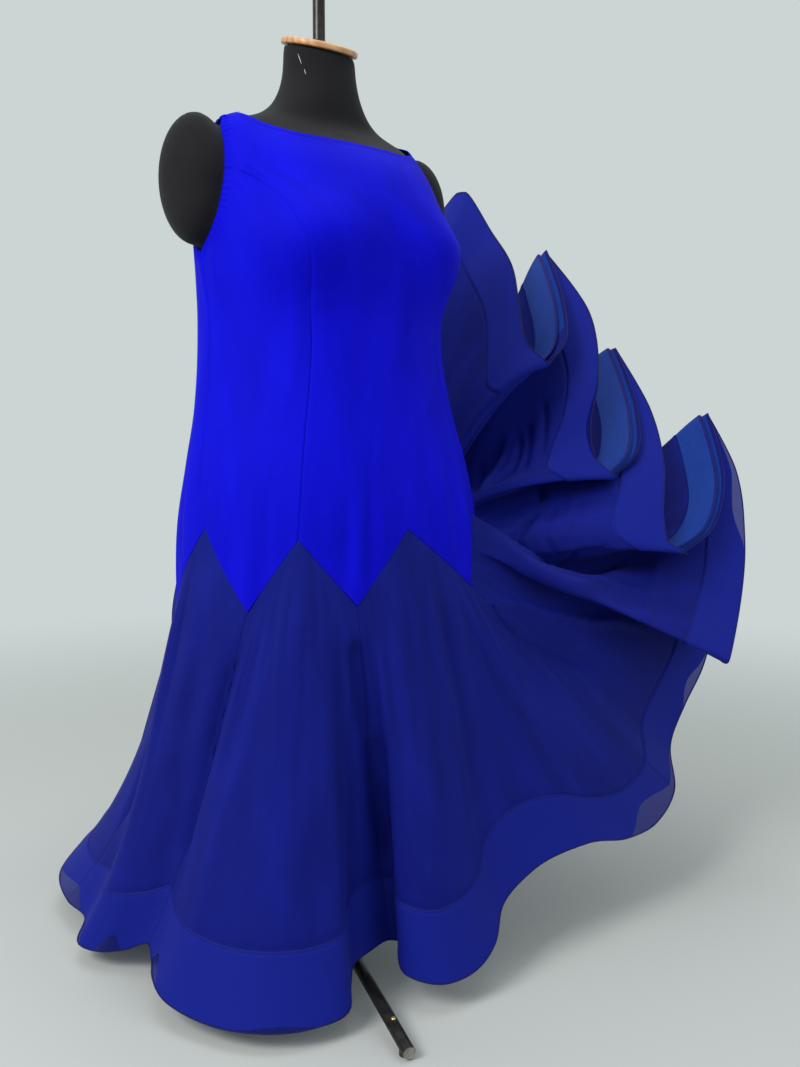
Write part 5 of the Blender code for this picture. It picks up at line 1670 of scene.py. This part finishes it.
def weave(look, pitch, depth):
    """Fine crossed threads as bump, with a slower unevenness under them."""
    scale = 1.0 / pitch / WEAVE_TURN
    both = maths(look, "ADD", look.wave("X", scale, 0.6), look.wave("Y", scale, 0.6))
    slow = look.bump(look.noise(UNEVEN_SCALE, 3.0), 0.35, 0.0009)
    return look.bump(both, 0.5, depth, slow)


def cloth(name, colours, roughness, gloss, sheen, pitch, depth):
    """Crepe or chiffon: three close tones of one dye over a fine weave."""
    look = Look(name, colours[1], roughness)
    look.set("Sheen Weight", sheen)
    look.set("Sheen Roughness", SHEEN_ROUGHNESS)
    look.set("Sheen Tint", SHEEN_TINT)
    look.set("Specular IOR Level", gloss)
    mottle = look.noise(MOTTLE_SCALE, 4.0, stretch=MOTTLE_STRETCH)
    look.tone = look.ramp(mottle, list(zip(MOTTLE_PLACES, colours)))
    look.colour(look.tone)
    look.normal(weave(look, pitch, depth))
    return look


def value_of(look, name):
    """A value that the mesh carries at its points."""
    return look.node("ShaderNodeAttribute", attribute_name=name).outputs["Fac"]


def maths(look, operation, *values):
    made = look.node("ShaderNodeMath", operation=operation)
    for socket, value in zip(made.inputs, values):
        if isinstance(value, float):
            socket.default_value = value
        else:
            look.link(value, socket)
    return made.outputs[0]


def from_hem_of(look):
    apart = look.node("ShaderNodeSeparateXYZ")
    look.link(look.place(), apart.inputs[0])
    return apart.outputs["Y"]


def step_over(look, value, edge, soft):
    """0 under the edge and 1 over it, with a short soft change between."""
    made = look.node("ShaderNodeMapRange", interpolation_type="SMOOTHSTEP")
    made.inputs["From Min"].default_value = edge - soft
    made.inputs["From Max"].default_value = edge + soft
    look.link(value, made.inputs["Value"])
    return made.outputs[0]


def chiffon(name, colours, band, line, inside=False):
    """Chiffon over crepe: brighter on its stiff band, darker in its seams, thin where it lies alone."""
    look = cloth(name, colours, 0.68, CHIFFON_GLOSS, 0.05, 0.0009, 0.00010)
    tone = look.mix(value_of(look, "band"), look.tone, band)
    tone = look.mix(maths(look, "MULTIPLY", value_of(look, "line"), LINE_SHARE), tone, line)
    if inside:
        azure, normal = braid(look)
        lined = maths(look, "MULTIPLY", value_of(look, "lined"), value_of(look, "band"))
        tone = look.mix(step_over(look, lined, 0.5, 0.05), tone, azure)
        look.normal(normal)
    look.colour(tone)
    bare = maths(look, "SUBTRACT", value_of(look, "bare"), from_hem_of(look))
    share = maths(look, "MULTIPLY", step_over(look, bare, 0.0, SHEER_EDGE), SHEER_CLEAR)
    look.show_through(share, look.node("ShaderNodeBsdfTransparent", Color=SHEER_TINT))
    return look


CHIFFON_GLOSS = 0.07
SHEER_CLEAR = 0.62
SHEER_TINT = (0.50, 0.50, 0.74, 1.0)
SHEER_EDGE = 0.0008
LINE_SHARE = 0.55
SHEEN_TINT = (0.16, 0.20, 1.0, 1.0)
SHEEN_ROUGHNESS = 0.45
# Scales of the dye's mottling and of the cloth's slow unevenness, in turns per metre of cloth
MOTTLE_SCALE = 14.0
MOTTLE_STRETCH = (1.0, 0.35, 1.0)
MOTTLE_PLACES = (0.30, 0.52, 0.75)
UNEVEN_SCALE = 55.0
BRAID_DARK = (0.0012, 0.016, 0.150)
BRAID_LIGHT = (0.0028, 0.044, 0.300)
BINDING_TONE = (0.0030, 0.0050, 0.110)
RIB_PITCH = 0.0038
LINE_PITCH = 0.0052
# A wave texture repeats every 2 pi / 20 of its scaled length.
WAVE_TURN = 0.31416
# The weave's scale is 1 / (WEAVE_TURN * pitch), close to WAVE_TURN / pitch.
WEAVE_TURN = 3.1


def braid(look):
    """Azure stiffening braid: ribs across the band, faint lines along it, and a navy binding."""
    ribs = look.wave("X", WAVE_TURN / RIB_PITCH, 0.35)
    lines = look.wave("Y", WAVE_TURN / LINE_PITCH, 0.8)
    tone = look.ramp(ribs, [(0.15, BRAID_DARK), (0.85, BRAID_LIGHT)])
    tone = look.mix(maths(look, "MULTIPLY", look.noise(30.0, 3.0), 0.6), tone, BRAID_DARK)
    tone = look.mix(step_over(look, from_hem_of(look), BINDING, 0.0004), BINDING_TONE, tone)
    normal = look.bump(lines, 0.4, 0.00012)
    return tone, look.bump(ribs, 0.7, 0.00035, normal)


def facing_look():
    """The azure braid on the inside of the second hem."""
    look = Look("azure_facing", BRAID_LIGHT, 0.55)
    look.set("Specular IOR Level", 0.12)
    tone, normal = braid(look)
    look.colour(tone)
    look.normal(normal)
    return look


def jersey_look():
    look = Look("black_jersey", (0.009, 0.009, 0.010), 0.90)
    look.set("Specular IOR Level", 0.10)
    look.set("Sheen Weight", 0.06)
    look.set("Sheen Roughness", 0.5)
    look.set("Sheen Tint", (0.8, 0.8, 0.85, 1.0))
    worn = look.noise(9.0, 5.0, mapped=False)
    look.colour(look.ramp(worn, [(0.35, (0.0075, 0.0070, 0.0085)), (0.75, (0.0145, 0.0140, 0.0165))]))
    fine = look.noise(1400.0, 2.0, mapped=False)
    soft = look.bump(look.noise(60.0, 3.0, mapped=False), 0.25, 0.001)
    look.normal(look.bump(fine, 0.5, 0.00025, soft))
    return look


def wood_look():
    look = Look("turned_wood", (0.45, 0.22, 0.09), 0.48)
    look.set("Coat Weight", 0.25)
    look.set("Coat Roughness", 0.30)
    grain = look.wave("Y", 26.0, 5.0, detail=3.0, mapped=False)
    fine = look.noise(220.0, 4.0, mapped=False, stretch=(0.15, 1.0, 1.0))
    tone = look.ramp(grain, [(0.0, (0.34, 0.150, 0.055)), (0.6, (0.50, 0.255, 0.105)),
                             (1.0, (0.60, 0.33, 0.15))])
    look.colour(look.mix(fine, tone, (0.40, 0.19, 0.075)))
    look.normal(look.bump(fine, 0.35, 0.0002))
    return look


def metal_look(name, dark, light, roughness, metallic, grain=90.0):
    look = Look(name, light, roughness, metallic)
    worn = look.noise(grain, 4.0, mapped=False)
    look.colour(look.ramp(worn, [(0.38, dark), (0.70, light)]))
    rough = look.node("ShaderNodeMapRange")
    rough.inputs["To Min"].default_value = roughness - 0.08
    rough.inputs["To Max"].default_value = roughness + 0.12
    look.link(worn, rough.inputs["Value"])
    look.link(rough.outputs[0], look.shader.inputs["Roughness"])
    look.normal(look.bump(look.noise(600.0, 2.0, mapped=False), 0.15, 0.0001))
    return look


def make_looks():
    navy = ((0.0026, 0.0058, 0.128), (0.0034, 0.0074, 0.160), (0.0046, 0.0100, 0.200))
    # The skirt's inner face takes a darker copy of the navy: painted shade inside the skirt, not a
    # different cloth.
    inside = ((0.0024, 0.0050, 0.100), (0.0030, 0.0064, 0.128), (0.0040, 0.0086, 0.160))
    bright = ((0.0018, 0.0018, 0.400), (0.0024, 0.0024, 0.470), (0.0032, 0.0032, 0.540))
    cord = ((0.003, 0.003, 0.050), (0.004, 0.004, 0.070), (0.005, 0.005, 0.090))
    band = (0.0050, 0.0110, 0.200)
    line = (0.0020, 0.0040, 0.085)
    looks = {
        "crepe": cloth("bright_crepe", bright, 0.66, 0.04, 0.0, 0.0007, 0.00008),
        "crepe_dark": cloth("navy_crepe", navy, 0.66, 0.07, 0.04, 0.0008, 0.00008),
        "chiffon": chiffon("navy_chiffon", navy, band, line),
        "chiffon_inside": chiffon("navy_chiffon_inside_painted_shade", inside, inside[1], line, inside=True),
        "facing": facing_look(),
        "piping": cloth("navy_piping", cord, 0.55, 0.15, 0.05, 0.0008, 0.00008),
        "thread": metal_look("bright_thread", (0.004, 0.003, 0.40), (0.006, 0.004, 0.52), 0.60, 0.0, 900.0),
        "thread_dark": metal_look("navy_thread", (0.010, 0.013, 0.19), (0.014, 0.018, 0.26), 0.60, 0.0,
                                  900.0),
        "jersey": jersey_look(),
        "wood": wood_look(),
        "steel": metal_look("dark_steel", (0.012, 0.011, 0.010), (0.030, 0.026, 0.023), 0.30, 0.55),
        "bare_steel": metal_look("bare_steel", (0.25, 0.23, 0.21), (0.45, 0.43, 0.40), 0.34, 0.9),
        "brass": metal_look("brass_screw", (0.42, 0.28, 0.10), (0.62, 0.45, 0.18), 0.30, 0.9),
        "rubber": metal_look("rubber_pad", (0.010, 0.010, 0.010), (0.020, 0.020, 0.020), 0.80, 0.0),
        "chalk": metal_look("chalk", (0.22, 0.22, 0.22), (0.40, 0.40, 0.40), 0.90, 0.0, 1500.0),
    }
    return {name: look.material for name, look in looks.items()}


BACKDROP = (0.600, 0.665, 0.655)
FLOOR_NEAR = (0.430, 0.442, 0.435)
FLOOR_HALF = 40.0
# Distances over which the floor turns into the backdrop, and the point that the lamps face
FLOOR_FADE = (0.5, 3.4)
LAMP_AIM = (0.2, 0.0, 0.75)


def studio():
    """A pale floor that runs out into the backdrop's colour, and soft lights."""
    data = bpy.data.meshes.new("studio_floor")
    h = FLOOR_HALF
    data.from_pydata([(-h, -h, 0), (h, -h, 0), (h, h, 0), (-h, h, 0)], [], [(0, 1, 2, 3)])
    floor = put("studio_floor", data)
    look = Look("studio_floor", FLOOR_NEAR, 0.85)
    apart = look.node("ShaderNodeVectorMath", operation="LENGTH")
    look.link(look.place(False), apart.inputs[0])
    far = look.node("ShaderNodeMapRange", interpolation_type="SMOOTHSTEP")
    far.inputs["From Min"].default_value = FLOOR_FADE[0]
    far.inputs["From Max"].default_value = FLOOR_FADE[1]
    look.link(apart.outputs["Value"], far.inputs["Value"])
    glow = look.node("ShaderNodeEmission", Color=(*BACKDROP, 1.0), Strength=1.0)
    look.show_through(far.outputs[0], glow)
    data.materials.append(look.material)
    world = bpy.data.worlds.new("studio")
    bpy.context.scene.world = world
    world.use_nodes = True
    world.node_tree.nodes["Background"].inputs["Color"].default_value = (*BACKDROP, 1.0)
    world.node_tree.nodes["Background"].inputs["Strength"].default_value = 1.0
    bpy.context.scene.view_settings.view_transform = "Standard"
    for name, across, away, up, size, power, colour in LIGHTS:
        light = bpy.data.lights.new(name, "AREA")
        light.size = size
        light.energy = power
        light.color = colour
        lamp = put(name, light)
        lamp.location = Vector(view_to_frame(across, away, up))
        aim = Vector(PLACE) + Vector(LAMP_AIM) - lamp.location
        lamp.rotation_euler = aim.to_track_quat("-Z", "Y").to_euler()


LIGHTS = (
    ("key", -1.9, -1.9, 2.5, 1.3, 95.0, (1.0, 0.99, 0.97)),
    ("fill", 2.4, -2.2, 1.6, 1.8, 22.0, (0.95, 0.98, 1.0)),
    ("top", 0.2, 0.3, 3.2, 2.0, 30.0, (1.0, 1.0, 1.0)),
)

# The camera, in the view frame of the pole: across to the right, away from the camera, and up
CAMERA_TURN = 36.0
CAMERA_AWAY = -1.70
CAMERA_HEIGHT = 0.843
CAMERA_YAW = 4.20
CAMERA_PITCH = 5.243
LENS_RATIO = 1062.5 / 1067.0
SENSOR = 36.0


def view_to_frame(across, away, up):
    """A point of the view frame in the object's frame."""
    c, s = math.cos(math.radians(CAMERA_TURN)), math.sin(math.radians(CAMERA_TURN))
    return np.array([c * across + s * away, -s * across + c * away, up]) + PLACE


def camera():
    """The camera of the photo, from its calibrated place, turn and lens."""
    data = bpy.data.cameras.new("camera")
    data.sensor_width = SENSOR
    data.lens = SENSOR * LENS_RATIO
    data.clip_start = 0.05
    data.clip_end = 200.0
    made = put("camera", data)
    yaw, pitch = math.radians(CAMERA_YAW), math.radians(CAMERA_PITCH)
    ahead = view_to_frame(math.sin(yaw) * math.cos(pitch), math.cos(yaw) * math.cos(pitch),
                          -math.sin(pitch)) - PLACE
    right = view_to_frame(math.cos(yaw), -math.sin(yaw), 0.0) - PLACE
    up = np.cross(right, ahead)
    turn = Matrix([right, up, -ahead]).transposed()
    made.matrix_world = Matrix.Translation(view_to_frame(0.0, CAMERA_AWAY, CAMERA_HEIGHT)) @ turn.to_4x4()
    bpy.context.scene.camera = made


def main():
    camera()
    looks = make_looks()
    skirt = Skirt()
    made = gores(skirt, looks)
    made["hem_band"] = facing(skirt, looks)
    skirt_trim(skirt, looks)
    made.update(bodice(looks))
    bodice_trim(looks)
    torso(looks)
    chalk_marks(looks)
    cap_and_poles(looks)
    tripod(looks)
    studio()


main()
bpy.context.view_layer.update()
